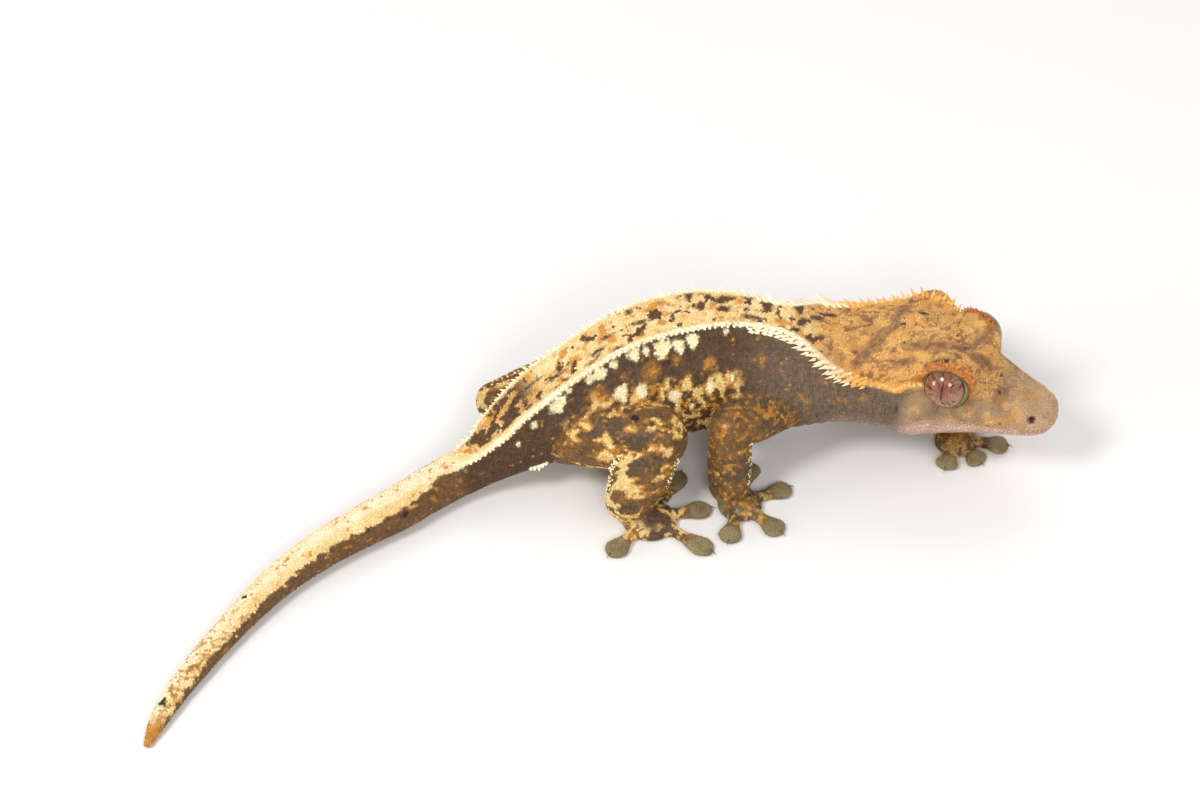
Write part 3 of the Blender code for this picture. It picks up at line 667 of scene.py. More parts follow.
# How far the folds, lumps and pits stand out or in, in millimetres.
NECK_FOLDS, FLANK_FOLD, RIBS, LUMPS, UNEVEN_BODY, UNEVEN_HEAD = 0.28, 0.45, 0.10, 0.22, 0.10, 0.09
JAW_SWELL, EYE_HOLLOW, MOUTH_GROOVE, LIP_SWELL = 0.55, 0.35, 0.42, 0.16
NOSTRIL_PIT, NOSTRIL_RIM, EAR_PIT = 0.7, 0.12, 0.9
CREST_RISE, CREST_FLARE, CREST_SADDLE, CREST_STANDS, FLANK_SUNK = 0.38, 1.6, 0.5, 0.6, 0.5
TOP_SLACK = 0.2
# The nostril's place along the backbone and its angle round it, and how far off it marks anything.
NOSTRIL, NOSTRIL_REACH = (2.9, 33.0), 3.0


def nostril_gap(points):
    """How far points lie from the nearer nostril, across the skin."""
    gap = np.full(len(points), FAR_AWAY)
    for angle in (NOSTRIL[1], 180 - NOSTRIL[1]):
        place, raised = (skin_points(NOSTRIL[0], angle, lift)[0] for lift in (0.0, 1.0))
        way = (raised - place) / np.linalg.norm(raised - place)
        rel = points - place
        level = np.linalg.norm(rel - (rel @ way)[:, None] * way, axis=1)
        gap = np.where(np.linalg.norm(rel, axis=1) < NOSTRIL_REACH, np.minimum(gap, level), gap)
    return gap


# Loose skin creased round the neck, a long fold low on the flank, the ribs, and lumps over the muscle.
points, normals = corners_of(skin)
where = body_map(points)
along, height, arc, on_limb = (where[key] for key in ("along", "height", "arc", "on_limb"))
body = 1 - on_limb
warp = noise(points, 5.0, 1, 2)
crease = np.abs(np.sin(along * 1.55 + warp * 3.0 + height * 0.02))
neck = between(along, 27.0, 30.0, 44.0, 52.0) * ease(-arc, 0.5, 2.5) * body
lift = -NECK_FOLDS * neck * (1 - crease) ** 2
flank = between(along, 50.0, 56.0, 76.0, 84.0) * body
lift += FLANK_FOLD * flank * (hill(height + warp * 5, -28, 9) - 0.6 * hill(height + warp * 5, -48, 8))
lift += RIBS * flank * np.sin(along * 0.9 + warp * 2.2) * ease(-arc, 2.0, 5.0)
lift += LUMPS * on_limb * noise(points, 3.2, 2, 3) * ease(where["foot"], 0.0, 1.5)
lift += UNEVEN_BODY * noise(points, 2.4, 3, 2) * ease(along, 10.0, 20.0) * ease(points[:, 2], 0.6, 2.5)
head = fade(along, 25.0, 30.0)
lift += UNEVEN_HEAD * head * noise(points, 1.5, 4, 3) * ease(along, 4.0, 9.0)
# The swelling at the corner of the jaw, and the hollow ahead of the eye.
lift += JAW_SWELL * hill(along, 23.5, 3.2) * hill(height, -22, 16)
lift -= EYE_HOLLOW * hill(along, 9.5, 3.5) * hill(height, 34, 13)
# The mouth line and the full lips above and below it, and the pits of nostril and ear.
mouth = fade(along, 19.5, 22.5) * head
lift -= MOUTH_GROOVE * mouth * hill(height, 0, 3.4)
lift += LIP_SWELL * mouth * ease(along, 0.5, 3.0) * hill(np.abs(height), 9, 6)
from_nostril = nostril_gap(points)
lift += NOSTRIL_RIM * hill(from_nostril, 1.0, 0.4) - NOSTRIL_PIT * hill(from_nostril, 0, 0.5, 4)
lift -= EAR_PIT * hill(along, 26.9, 0.7) * hill(height, 8, 6)
# The two crests stand up again where the smoothing has taken them down, and flare out behind the eyes.
crest = ease(along, 20.0, 24.0) * (1 - 0.7 * hill(along, 30.0, 3.5)) * fade(along, 96.0, 103.0) * body
lift += CREST_RISE * crest * hill(arc, 0, 0.8)
lift += CREST_FLARE * hill(along, 24.8, 1.7) * hill(arc, 0, 1.1) * np.where(where["right"], 0.15, 1.0) * body
lift -= CREST_SADDLE * hill(along, 20.6, 1.3) * hill(arc, 0, 2.2) * ~where["right"]
# On the left the crest stands out over a flatter flank, as the photo's far outline shows it.
stands = between(along, 44.0, 52.0, 94.0, 102.0) * ~where["right"] * body
lift += stands * (CREST_STANDS * hill(arc, -0.8, 0.8) - FLANK_SUNK * hill(arc, -3.4, 1.5))
points = points + normals * lift[:, None]
points[:, 2] = np.clip(points[:, 2], 0.02, cad_box[1][2] / MM - TOP_SLACK)
# The lids and the brow: inside the opening the skin is drawn in behind the eyeball, and its edge stands up as
# a thin lip with a fold of skin below it.
EYE_REACH, LIP_END, SOCKET_RADIUS = 7.0, 5.8, 3.4
LIP_RISE, FOLD_SINKS, LID_FOLD = 0.22, 0.2, 10.0
BROW_RISES = {-1: 0.6, 1: 0.2}
EVEN_ROUNDS = 12
SNOUT_SLACK = 0.16
eye_gap = np.full(len(points), FAR_AWAY)
drawn = np.zeros(len(points))
for side in (1, -1):
    look, behind, above, centre = eye_axes(side)
    rel = points - centre
    reach = np.linalg.norm(rel, axis=1)
    off = np.degrees(np.arccos(np.clip(rel @ look / reach, -1, 1)))
    turn = np.degrees(np.arctan2(rel @ above, rel @ behind))
    down, ahead = -np.sin(np.radians(turn)), -np.cos(np.radians(turn))
    off = off - lid_edge(turn, side)
    near = reach < EYE_REACH
    inside = near * fade(off, -1.5, 3.5)
    lip = LIP_RISE * hill(off, 8, 5.5) - FOLD_SINKS * ease(down, -0.2, 0.4) * hill(off, LID_FOLD, 4.0)
    lip = near * (lip + between(turn, 12, 45, 150, 178) * BROW_RISES[side] * hill(off, 15, 8))
    front = ease(ahead, 0.3, 0.7) * (side > 0)
    beyond = np.clip(off, 0, 60)
    hugged = EYE_RADIUS + 0.3 - 0.1 * front + (0.045 - 0.035 * front) * beyond
    hugged = hugged + (0.004 - 0.0012 * front) * beyond**2
    held = np.where(reach > hugged, hugged + (reach - hugged) * ease(reach, 5.0, 8.8), reach)
    wanted = held * (1 - inside) + SOCKET_RADIUS * inside + lip
    points = centre + rel * (wanted / reach)[:, None]
    eye_gap = np.where(near & (wanted < LIP_END), np.minimum(eye_gap, off), eye_gap)
    beside = ease(down, -0.4, 0.0) * ease(off, 12.0, 17.0)
    drawn = np.maximum(drawn, beside * fade(reach, 8.0, 10.0))
points[:, 0] = np.minimum(points[:, 0], cad_box[1][0] / MM + MIDDLE[0] - SNOUT_SLACK)
set_corners(skin, points)
smooth_skin(EVEN_ROUNDS, drawn)
points = corners_of(skin)[0]

# Markings. The pigment of the skin, the same for the bare skin and for every scale and spine on it: a cream
# band along back and tail between two pale fringes, a dark brown flank with white and orange mottling, a tan
# head veined with brown, orange-brown legs and olive toes.
# Sizes of the noise: crumbs, mottling, patches and wide clouds.
CRUMB, MOTTLE, PATCH, WIDE = 0.65, 1.6, 3.2, 7.0
# The last fore limb's number in the list of limbs.
HIND_FROM = 3
# The band comes further down over the left crest, which the camera sees along its edge.
FAR_EDGE = 1.25
# A dark spot on the right thigh.
THIGH_SPOT = np.array((5.6, -9.8, 17.5))
# Pale patches on the right flank: place along, distance below the crest line, half length and half height.
WHITE_PATCHES = (
    (86.0, 1.3, 1.3, 1.0), (83.6, 0.6, 0.4, 0.4), (80.0, 0.9, 0.8, 0.7), (78.0, 1.1, 1.1, 0.9),
    (75.6, 1.0, 0.6, 0.6), (72.2, 1.2, 1.0, 0.9), (70.2, 1.3, 0.6, 0.8), (67.8, 1.8, 1.4, 1.6),
    (64.8, 2.0, 1.0, 1.4), (61.9, 1.7, 1.1, 1.1), (55.7, 0.9, 0.4, 0.5), (90.0, 1.4, 0.5, 0.5),
    (93.5, 2.0, 0.4, 0.4), (76.2, 6.0, 1.0, 1.5), (73.0, 7.2, 0.9, 1.2), (67.6, 9.9, 1.2, 1.1),
    (58.6, 10.0, 0.8, 1.4), (54.0, 8.4, 0.4, 0.8), (64.0, 12.8, 0.7, 0.7),
)
ORANGE_PATCHES = (
    (70.4, 4.8, 1.3, 1.5), (65.9, 3.9, 0.7, 0.9), (58.9, 5.6, 1.2, 1.1), (80.0, 3.9, 1.3, 1.7),
    (74.6, 3.6, 0.6, 0.6), (63.8, 8.0, 0.8, 1.0), (34.2, 3.3, 0.5, 0.4), (36.8, 4.3, 0.4, 0.4),
    (40.4, 3.0, 0.4, 0.4), (43.2, 9.0, 0.6, 0.6), (46.6, 5.9, 0.4, 0.5), (49.0, 5.0, 0.4, 0.8),
)
# Dark spots: place along, distance right of the middle of the back (left is negative), half length and width.
DARK_SPOTS = (
    (25.0, -4.6, 0.55, 0.4), (27.5, -1.1, 0.5, 0.32), (26.8, 2.6, 0.32, 0.3), (18.0, -0.5, 0.35, 0.3),
    (18.6, -1.5, 0.25, 0.22), (16.5, 0.2, 0.35, 0.28), (17.7, 4.8, 0.55, 0.4), (9.9, 0.5, 0.25, 0.22),
    (9.1, 3.2, 0.3, 0.28), (7.6, 7.9, 0.22, 0.2), (2.1, 2.8, 0.18, 0.16), (76.9, 1.5, 0.5, 0.3),
    (81.5, -0.5, 0.3, 0.25), (71.4, -0.2, 0.2, 0.2), (55.0, 3.0, 0.7, 0.35), (50.3, 1.0, 0.4, 0.3),
    (44.4, 1.4, 0.4, 0.35), (67.4, 7.6, 0.25, 0.6), (77.8, 11.0, 0.35, 0.6), (61.0, 14.6, 0.35, 0.3),
    (117.6, 3.9, 0.55, 0.5), (124.4, 3.2, 0.45, 0.35), (148.6, -0.9, 0.45, 0.4), (172.6, -0.4, 0.9, 0.3),
    (173.0, -0.3, 0.35, 0.8),
)
# Brown marks inside the band, written the same way.
BAND_MARKS = (
    (70.2, -3.4, 0.5, 0.5), (69.4, -0.9, 0.8, 0.4), (61.6, -4.0, 0.6, 1.0), (60.0, -1.4, 0.7, 0.9),
    (57.0, -2.6, 1.2, 0.6), (56.4, -0.8, 0.9, 0.5), (53.0, -3.4, 1.4, 0.5), (51.6, 0.4, 1.5, 0.55),
    (49.6, -2.4, 0.8, 0.8), (44.2, -3.6, 0.7, 1.4), (43.6, -0.7, 0.9, 1.1), (41.2, -2.0, 1.2, 0.8),
    (39.4, -3.6, 1.4, 0.7), (74.4, -1.0, 1.0, 0.4), (74.0, 2.3, 0.8, 0.35), (77.0, 0.6, 1.3, 0.4),
    (78.4, 2.0, 0.9, 0.3), (84.0, 0.2, 1.6, 0.35), (87.5, -1.6, 1.6, 0.3),
)
# Brown strokes over the crown: from, to, each as place along and distance right of the middle, half width.
CROWN_STROKES = (
    ((27.4, -8.0), (29.0, -1.4), 0.9),
    ((29.0, -1.4), (32.4, 2.6), 1.0),
    ((32.4, 2.6), (35.4, 6.6), 0.8),
    ((26.4, 3.6), (21.6, 2.0), 0.9),
    ((21.6, 2.0), (16.4, 0.6), 1.1),
    ((16.4, 0.6), (12.4, 1.0), 1.2),
    ((16.0, -0.4), (14.0, -3.4), 0.8),
    ((23.6, 5.6), (28.6, 6.6), 0.6),
)


def blots(along, across, marks, warp, soft=0.25, wedge=0.0):
    """How far points lie inside any of the blots, which have ragged edges and narrow down by the wedge."""
    inside = np.zeros(len(along))
    for place, side, half_length, half_width in marks:
        near = (np.abs(along - place) < half_length * 2 + 1) & (np.abs(across - side) < half_width * 2 + 1)
        down = (across[near] - side) / half_width
        gap = np.hypot((along[near] - place) / half_length / (1 - wedge * np.clip(down, -1, 1)), down)
        edge = soft / min(half_length, half_width)
        inside[near] = np.maximum(inside[near], fade(gap + 0.45 * warp[near], 1 - edge, 1 + edge))
    return inside


def strokes(along, across, lines, warp):
    """How far points lie inside any of a list of straight strokes with ragged edges."""
    inside = np.zeros(len(along))
    for start, end, half_width in lines:
        gap = np.linalg.norm(from_line(np.column_stack([along, across]), start, end)[1], axis=1)
        inside = np.maximum(inside, fade(gap / half_width + 1.1 * warp, 0.4, 1.5))
    return inside


def threads(points, size, seed, width):
    """Thin wandering lines: 1 along each, and 0 or less where the noise is more than a width off it."""
    return 1 - np.abs(noise(points, size, seed, 2)) / width


def markings(points, where, eye_gap):
    """How strongly each marking shows at each point, from 0 to 1, in the order of the layers of pigment."""
    along, height, arc, across = (where[key] for key in ("along", "height", "arc", "across"))
    right, on_limb, pad = (where[key] for key in ("right", "on_limb", "pad"))
    below = -arc
    arc = arc + FAR_EDGE * (1 - right) * ease(along, 36.0, 44.0)
    crumbs, mottle = noise(points, CRUMB, 21, 2), noise(points, MOTTLE, 22, 3)
    patches, wide = noise(points, PATCH, 23, 3), noise(points, WIDE, 24, 2)
    body = 1 - on_limb
    tail = ease(along, 103.0, 107.0)
    golden_tip = ease(along + 1.2 * crumbs, 174.5, 177.0)
    hind = where["limb_number"] > HIND_FROM
    marks = {}
    marks["belly"] = ease(-height, 38, 62)
    marks["neck"] = body * fade(along + 2 * wide, 42.0, 56.0) * ease(below, -0.3, 0.3)
    marks["throat"] = body * fade(along, 34.0, 46.0) * ease(-height + 8 * mottle, 4, 34)
    marks["face"] = fade(along, 19.0, 27.0) * body
    ahead_of_crests = ease(height + 12 * mottle, 28, 55) * ease(along + 2.0 * mottle, 6.0, 13.0)
    crown = np.where(along > 19.5, ease(arc + 0.25 * crumbs, -0.25, 0.15), ahead_of_crests)
    marks["crown"] = body * fade(along + 2 * patches, 40.0, 50.0) * crown
    marks["snout"] = fade(along + 1.5 * mottle, 3.0, 10.0) * body
    # Legs: orange-brown, grey in patches, with pale and dark streaks along the thigh.
    marks["limb"] = np.maximum(on_limb, 0.7 * tail)
    streak = 1.25 * noise(points, (4.2, 1.1, 1.1), 25, 3)
    grey = ease(patches + 0.4 * wide, -0.1, 0.25) * 0.9 + ease(mottle - 0.1, 0.1, 0.35) * 0.7
    marks["grey"] = on_limb * np.clip(grey, 0, 1)
    # Gold crumbs low on the flank, in patches, on the legs and tail, and over the whole tip of the tail.
    low = between(along, 50.0, 55.0, 80.0, 90.0) * fade(-height, 40, 70)
    low *= ease(below + 1.8 * mottle + 0.18 * np.clip(along - 62.0, 0, 20), 6.4, 9.0)
    dashes = noise(points, (0.9, 1.3, 2.2), 29, 2)
    orange = blots(along, below, ORANGE_PATCHES, 2.0 * mottle + 2.2 * crumbs, 0.5)
    orange = orange * (0.3 + 0.65 * ease(crumbs + 0.6 * dashes, -0.2, 0.15))
    gold = low * ease(crumbs + 0.8 * dashes, -0.12, 0.12) + orange * right
    left_spots = ease(patches - 0.36, 0.0, 0.12) * (1 - right) * ease(below, 2.0, 3.5)
    gold += left_spots * ease(along, 48.0, 54.0) * fade(-height, 30, 60)
    stray = ease(crumbs + 0.3 * mottle - 0.52, 0.0, 0.1) * ease(along, 31.0, 36.0) * ease(below, 1.0, 2.0)
    gold += 0.8 * stray
    rough = np.where(hind, streak + 0.45 * crumbs - 0.02, 0.5 * mottle + 0.8 * crumbs - 0.06)
    gold = gold * body + on_limb * ease(rough, 0.0, 0.28) * np.where(hind, 0.9, 0.75)
    gold = gold * (1 - tail) + 0.6 * tail * ease(crumbs + 0.4 * mottle - 0.30, 0.0, 0.12)
    marks["gold"] = np.maximum(np.clip(gold, 0, 1), golden_tip)
    # Pale dust: streaks and the lower edge of the hind legs, the webs, and crumbs on fore legs and flank.
    lower = where["limb_low"]
    pale_edge = np.where(where["share_down"] < 1, ease(lower, 0.35, 0.8), ease(lower, 0.2, 0.7))
    web_pale = np.where(hind, 1.0, 0.35) * between(pad, 0.38, 0.46, 0.62, 0.85) * (where["foot"] < 0.6)
    dust = hind * ease(streak + 0.5 * crumbs - 0.32 + 0.5 * pale_edge, 0.0, 0.12)
    dust = dust + web_pale * ease(crumbs + 0.4 * mottle + 0.1, 0.0, 0.15)
    dust = dust + (1 - hind) * 0.6 * ease(crumbs + 0.4 * mottle - 0.62, 0.0, 0.12)
    dust = on_limb * dust + low * ease(dashes + 0.4 * crumbs - 0.16, 0.0, 0.12) * body
    marks["dust"] = np.clip(dust, 0, 1)
    # The band on back and tail, with amber clouds, dots and nets and brown marks in it.
    ragged = 0.30 * crumbs + 0.25 * mottle
    fall = 1.1 * ease(along, 108.0, 118.0)
    band = ease(arc + ragged * (1 + tail) + fall, -0.12, 0.12) * body * ease(along + 2 * patches, 38.0, 46.0)
    specks = ease(crumbs + 0.35 * mottle - 0.30 + 0.22 * (arc + fall), 0.0, 0.1)
    band = np.maximum(band, tail * specks * fade(-height, 0, 30))
    marks["band"] = band * (1 - golden_tip)
    middle = ease(arc, 0.9, 1.7) * (1 - tail)
    cloud = ease(mottle + 0.2 * patches + 0.6 * crumbs, 0.05, 0.45) * middle * body * ease(along, 38.0, 45.0)
    cloud = cloud + 0.8 * band * fade(arc + ragged, 0.0, 0.28) * (1 - tail)
    net = ease(threads(points, 1.3, 31, 0.12), 0.0, 0.6) * ease(along + 6 * mottle, 138.0, 164.0)
    dots = ease(crumbs + 0.3 * patches - 0.50 + 0.10 * np.clip(arc, 0, 2.5), 0.0, 0.08) * (1 - net)
    marks["amber"] = np.maximum(np.clip(cloud, 0, 1), tail * band * np.maximum(dots, net))
    brown = blots(along, across, BAND_MARKS, 1.8 * crumbs + 1.2 * mottle, 0.3) * ease(arc, 0.5, 1.1)
    flecks = noise(points, 1.15, 28, 3) + 0.35 * patches + 0.10 * fade(along, 60.0, 78.0) - 0.36
    brown = np.maximum(brown, ease(arc, 0.9, 1.5) * ease(flecks, 0.0, 0.08) * ease(along, 34.0, 42.0))
    split = between(along, 85.0, 90.0, 100.0, 102.0) * ease(arc + 0.5 * mottle, 1.2, 1.5)
    brown = np.maximum(brown, split * ease(0.22 - mottle - 0.5 * crumbs, 0.0, 0.15))
    marks["brown"] = np.maximum(brown * body * (1 - tail), 0.35 * tail * band * net)
    # The crown's veins, wrinkles and strokes, painted shade along the fold below each eye, and the tan clouds
    # of the face.
    crown = body * fade(along, 38.0, 44.0) * ease(height, 24, 40) * ease(along, 4.0, 9.0)
    veins = 0.8 * ease(threads(points, 2.6, 26, 0.16), 0.15, 0.75) * ease(0.35 + mottle, 0.0, 0.4)
    wrinkles = 0.75 * ease(threads(points, (1.5, 1.1, 1.1), 30, 0.11), 0.1, 0.7)
    veins = np.maximum(veins, wrinkles * ease(0.45 - patches, 0.0, 0.4))
    stroke = strokes(along, across, CROWN_STROKES, mottle + 0.5 * crumbs)
    veins = np.maximum(veins, stroke * (0.55 + 0.45 * ease(0.3 + crumbs + 0.5 * mottle, 0.0, 0.5)))
    veins = crown * np.clip(veins + 0.3 * ease(patches - 0.15, 0.0, 0.3), 0, 0.95)
    # Painted shade: a dark line along the sunken fold below each eye, in the veins' colours, added to the
    # crown's real veins.
    marks["veins_and_fold_shade"] = np.maximum(veins, 0.8 * hill(eye_gap, LID_FOLD, 3.0) * fade(height, 14, 30))
    marks["tan"] = fade(along, 19.0, 24.0) * body * ease(mottle + 0.4 * crumbs - 0.08, 0.0, 0.25) * 0.8
    # The pale fringe along both crests, and the white patches under it.
    slim = 0.2 * ease(along, 50.0, 56.0)
    stripe = hill(arc, 0.55 - slim, 0.62 - slim + 0.12 * mottle, 4) * body
    stripe = stripe * ease(along, 36.0, 42.0) * (1 - tail)
    stripe = stripe + 0.8 * tail * band * ease(arc, 0.2, 1.2) * (1 - dots) * (1 - net)
    marks["fringe"] = np.clip(stripe, 0, 1) * (1 - golden_tip)
    white = blots(along, below, WHITE_PATCHES, crumbs + 0.4 * mottle, 0.2, 0.35) * right
    pale_left = ease(noise(points, (1.6, 2.2, 2.2), 27, 2) - 0.40, 0.0, 0.08) * (1 - right)
    white = np.maximum(white, pale_left * between(below, 0.4, 0.8, 9.0, 11.0) * ease(along, 52.0, 58.0))
    marks["white"] = white * body * fade(along, 98.0, 103.0)
    marks["crestgold"] = 0.85 * hill(arc, 0.2, 0.55, 4) * fade(along, 36.0, 40.0) * ease(along, 19.5, 22.0)
    # Olive toes, pink lips and jaw, orange brows, the dark spots, and painted shade in the nostril pits.
    toe = (where["foot"] < 0.9) & (where["foot"] < where["limb"] + 0.4)
    marks["olive"] = on_limb * fade(pad + 0.06 * crumbs, 0.30, 0.42) * toe
    lips = hill(height, -13, 14, 4) * fade(along, 20.0, 23.0) * body
    jaw = hill(along, 22.6, 3.0) * hill(height, -16, 14) * (0.7 + 0.6 * mottle)
    marks["pink"] = np.clip(lips + jaw, 0, 0.9)
    marks["brow"] = fade(np.abs(eye_gap - 3), 3.0, 7.5) * ease(height, 24, 38) * ease(0.9 + mottle, 0.2, 0.8)
    thigh_spot = fade(np.linalg.norm(points - THIGH_SPOT, axis=1) + 0.2 * crumbs, 0.6, 0.85)
    marks["dark"] = np.maximum(blots(along, across, DARK_SPOTS, crumbs, 0.12) * body, thigh_spot)
    # Painted shade: the nostril pits are coloured dark red-brown, as the shade inside the openings.
    marks["nostril"] = fade(nostril_gap(points), 0.45, 0.75)
    return marks


where = body_map(points)
skin_marks = markings(points, where, eye_gap)


def set_values(made, name, values):
    """Writes one number for each corner of a mesh."""
    layer = made.data.attributes.new(name, "FLOAT", "POINT")
    layer.data.foreach_set("value", np.asarray(values, np.float32))


# Soft matt skin: pigment in layers, each of two tones that mix by a fine (0) or a wide (1) noise, with painted
# shade in the grooves: one value gives each scale a random tone and is near 0 on the bare skin between scales,
# painting shade there.
GRAIN_SIZES = (0.0007, 0.0024)
PORE_SIZE = 0.00025
PORE_DEPTH = 0.00006
LAYERS = (
    ("belly", "#BBA78F", "#A28C73", 1),
    ("neck", "#7E6A54", "#6A5744", 0),
    ("throat", "#A58D7C", "#927A68", 1),
    ("face", "#B2926E", "#987B5D", 1),
    ("crown", "#EBB669", "#DA9F52", 1),
    ("snout", "#CBA783", "#B89572", 1),
    ("tan", "#D9AE6C", "#C99450", 1),
    ("limb", "#8A6336", "#6B4D2B", 0),
    ("grey", "#665038", "#523F2B", 0),
    ("gold", "#D2953A", "#B67824", 0),
    ("dust", "#F0D594", "#DFB96C", 0),
    ("band", "#FBE0A8", "#F4CC86", 1),
    ("amber", "#E0A452", "#CA8A3E", 0),
    ("brown", "#6B4A29", "#54391F", 0),
    # This layer holds the crown's veins and also the painted shade along the fold below each eye.
    ("veins_and_fold_shade", "#92694A", "#775543", 1),
    ("fringe", "#FFF1D2", "#FAE4B8", 1),
    ("white", "#FFF3CA", "#F3E0AC", 0),
    ("crestgold", "#F3C272", "#E5A650", 0),
    ("olive", "#9B8B64", "#82734F", 1),
    ("pink", "#D3B2A2", "#C3A08E", 1),
    ("brow", "#CE8440", "#AE642E", 0),
    ("dark", "#241812", "#33231A", 0),
    # The nostril layer is painted shade in the nostril pits.
    ("nostril", "#5A1F16", "#43150F", 0),
)
gecko_skin, tree, shader = new_material("gecko_skin", {"Roughness": 0.52, "Specular IOR Level": 0.3})
place = add_node(tree, "TexCoord", out="Object")
grains = []
for size in GRAIN_SIZES:
    grain = add_node(tree, "TexNoise", {"Scale": 1 / size, "Detail": 2.0}, [("Vector", place)])
    grains.append(add_node(tree, "MapRange", {1: 0.35, 2: 0.65}, [(0, grain)]))
colour = blend(tree, grains[0], "#62452A", "#4A341E")
for layer, light_tone, dark_tone, grain in LAYERS:
    share = add_node(tree, "Attribute", {"attribute_name": layer}, out="Fac")
    colour = blend(tree, share, colour, blend(tree, grains[grain], light_tone, dark_tone))
# This value lightens or darkens each scale at random, and darkens the bare skin between scales as painted
# shade.
tone_and_groove_shade = add_node(tree, "Attribute", {"attribute_name": "tone_and_groove_shade"}, out="Fac")
value = add_node(tree, "MapRange", {3: 0.72, 4: 1.18}, [(0, tone_and_groove_shade)])
shade = add_node(tree, "HueSaturation", {}, [("Value", value), ("Color", colour)])
tree.links.new(shade, shader.inputs["Base Color"])
pores = add_node(tree, "TexNoise", {"Scale": 1 / PORE_SIZE, "Detail": 1.0}, [("Vector", place)])
relief = add_node(tree, "Bump", {"Strength": 0.5, "Distance": PORE_DEPTH}, [("Height", pores)])
tree.links.new(relief, shader.inputs["Normal"])
for name, values in skin_marks.items():
    set_values(skin, name, values)
# Painted shade: the bare skin between the scales gets a low value, so it renders darker, as if shaded in the
# grooves.
SKIN_GROOVE_SHADE = 0.12
set_values(skin, "tone_and_groove_shade", np.full(len(points), SKIN_GROOVE_SHADE))
skin.data.materials.append(gecko_skin)
skin.data.shade_smooth()
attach(skin, "root")
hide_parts(*[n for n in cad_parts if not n.endswith("_eye")])

# Scales. Small granular beads of horn, each a low dome of its own seated in the skin and fitted to its
# neighbours: finest on the head and toes, rounder on the flank, flat and broad under the belly. On head, back
# and toes they are drawn coarser than the real ones, so that there are fewer of them.
HEAD_GAP, BACK_GAP, FLANK_GAP, BELLY_GAP, LEG_GAP, TOE_GAP, LIP_GAP = 0.33, 0.38, 0.38, 0.6, 0.38, 0.33, 0.45
WIDEST_GAP = 0.6
CROWDING = 5.0
SIDES = 6
SEAT = 0.06
TOP_SHARE = 0.62
PATCH_SIZE = 0.003
NEIGHBOURS = 8
# A scale reaches nearly halfway to its neighbours, and no further than a share of its spacing.
REACH_SHARE, MOST_REACH = 0.95, 0.74
CLOSE_EYE = 1.0
# Where the head's, the belly's and the feet's kinds of scale begin: along, height round, and off the foot.
HEAD_END, BELLY_BELOW, FOOT_REACH = 30, -35, 0.8


def pick_roots(spacing, seed):
    """Scatters places over the skin, each at least its own spacing from the last, as points and ways out."""
    rng = np.random.default_rng(seed)
    mesh = skin.data
    mesh.calc_loop_triangles()
    triangles = np.empty(len(mesh.loop_triangles) * 3, np.int32)
    mesh.loop_triangles.foreach_get("vertices", triangles)
    triangles = triangles.reshape(-1, 3)
    corners, normals = corners_of(skin)
    sides = corners[triangles]
    area = 0.5 * np.linalg.norm(np.cross(sides[:, 1] - sides[:, 0], sides[:, 2] - sides[:, 0]), axis=1)
    gap = spacing[triangles].min(axis=1)
    rate = np.where(gap > 0, area / np.maximum(gap, 0.1) ** 2 * CROWDING, 0)
    chosen = rng.choice(len(triangles), size=int(rate.sum()), p=rate / rate.sum())
    mix = rng.random((len(chosen), 2))
    mix = np.where(mix.sum(axis=1)[:, None] > 1, 1 - mix, mix)
    weights = np.column_stack([1 - mix.sum(axis=1), mix])
    spots = np.einsum("ij,ijk->ik", weights, corners[triangles[chosen]])
    ways = np.einsum("ij,ijk->ik", weights, normals[triangles[chosen]])
    gaps = np.einsum("ij,ij->i", weights, spacing[triangles[chosen]])
    cell = np.floor(spots / WIDEST_GAP).astype(np.int64)
    keys = ((cell[:, 0] * 4096 + cell[:, 1]) * 4096 + cell[:, 2]).tolist()
    around = [(i * 4096 + j) * 4096 + k for i in (-1, 0, 1) for j in (-1, 0, 1) for k in (-1, 0, 1)]
    cells, kept = {}, []
    for index, (x, y, z) in enumerate(spots.tolist()):
        key, limit = keys[index], gaps[index] ** 2
        near = (spot for step in around for spot in cells.get(key + step, ()))
        if not any((a - x) ** 2 + (b - y) ** 2 + (c - z) ** 2 < limit for a, b, c in near):
            cells.setdefault(key, []).append((x, y, z))
            kept.append(index)
    ways = ways[kept] / np.linalg.norm(ways[kept], axis=1)[:, None]
    return spots[kept], ways, gaps[kept], np.argmax(weights[kept], axis=1), triangles[chosen[kept]]


spacing = np.full(len(points), FLANK_GAP)
for chosen, gap in (
    (where["arc"] > -0.5, BACK_GAP),
    (where["height"] < BELLY_BELOW, BELLY_GAP),
    (where["along"] < HEAD_END, HEAD_GAP),
    (where["on_limb"] > 0.5, LEG_GAP),
    (where["foot"] < FOOT_REACH, TOE_GAP),
    ((where["along"] < 20) & (np.abs(where["height"]) < 16), LIP_GAP),
    ((eye_gap < CLOSE_EYE) | (points[:, 2] < 0.12) | (nostril_gap(points) < 0.6), 0.0),
):
    spacing[chosen] = gap
roots, ways, gaps, strongest, triangle = pick_roots(spacing, 5)
root_where = body_map(roots)
root_marks = markings(roots, root_where, eye_gap[triangle[np.arange(len(roots)), strongest]])


def tangents(ways):
    """Two directions along the surface at each place."""
    first = np.cross(ways, (0.31, 0.17, 0.93))
    first /= np.linalg.norm(first, axis=1)[:, None]
    return first, np.cross(ways, first)


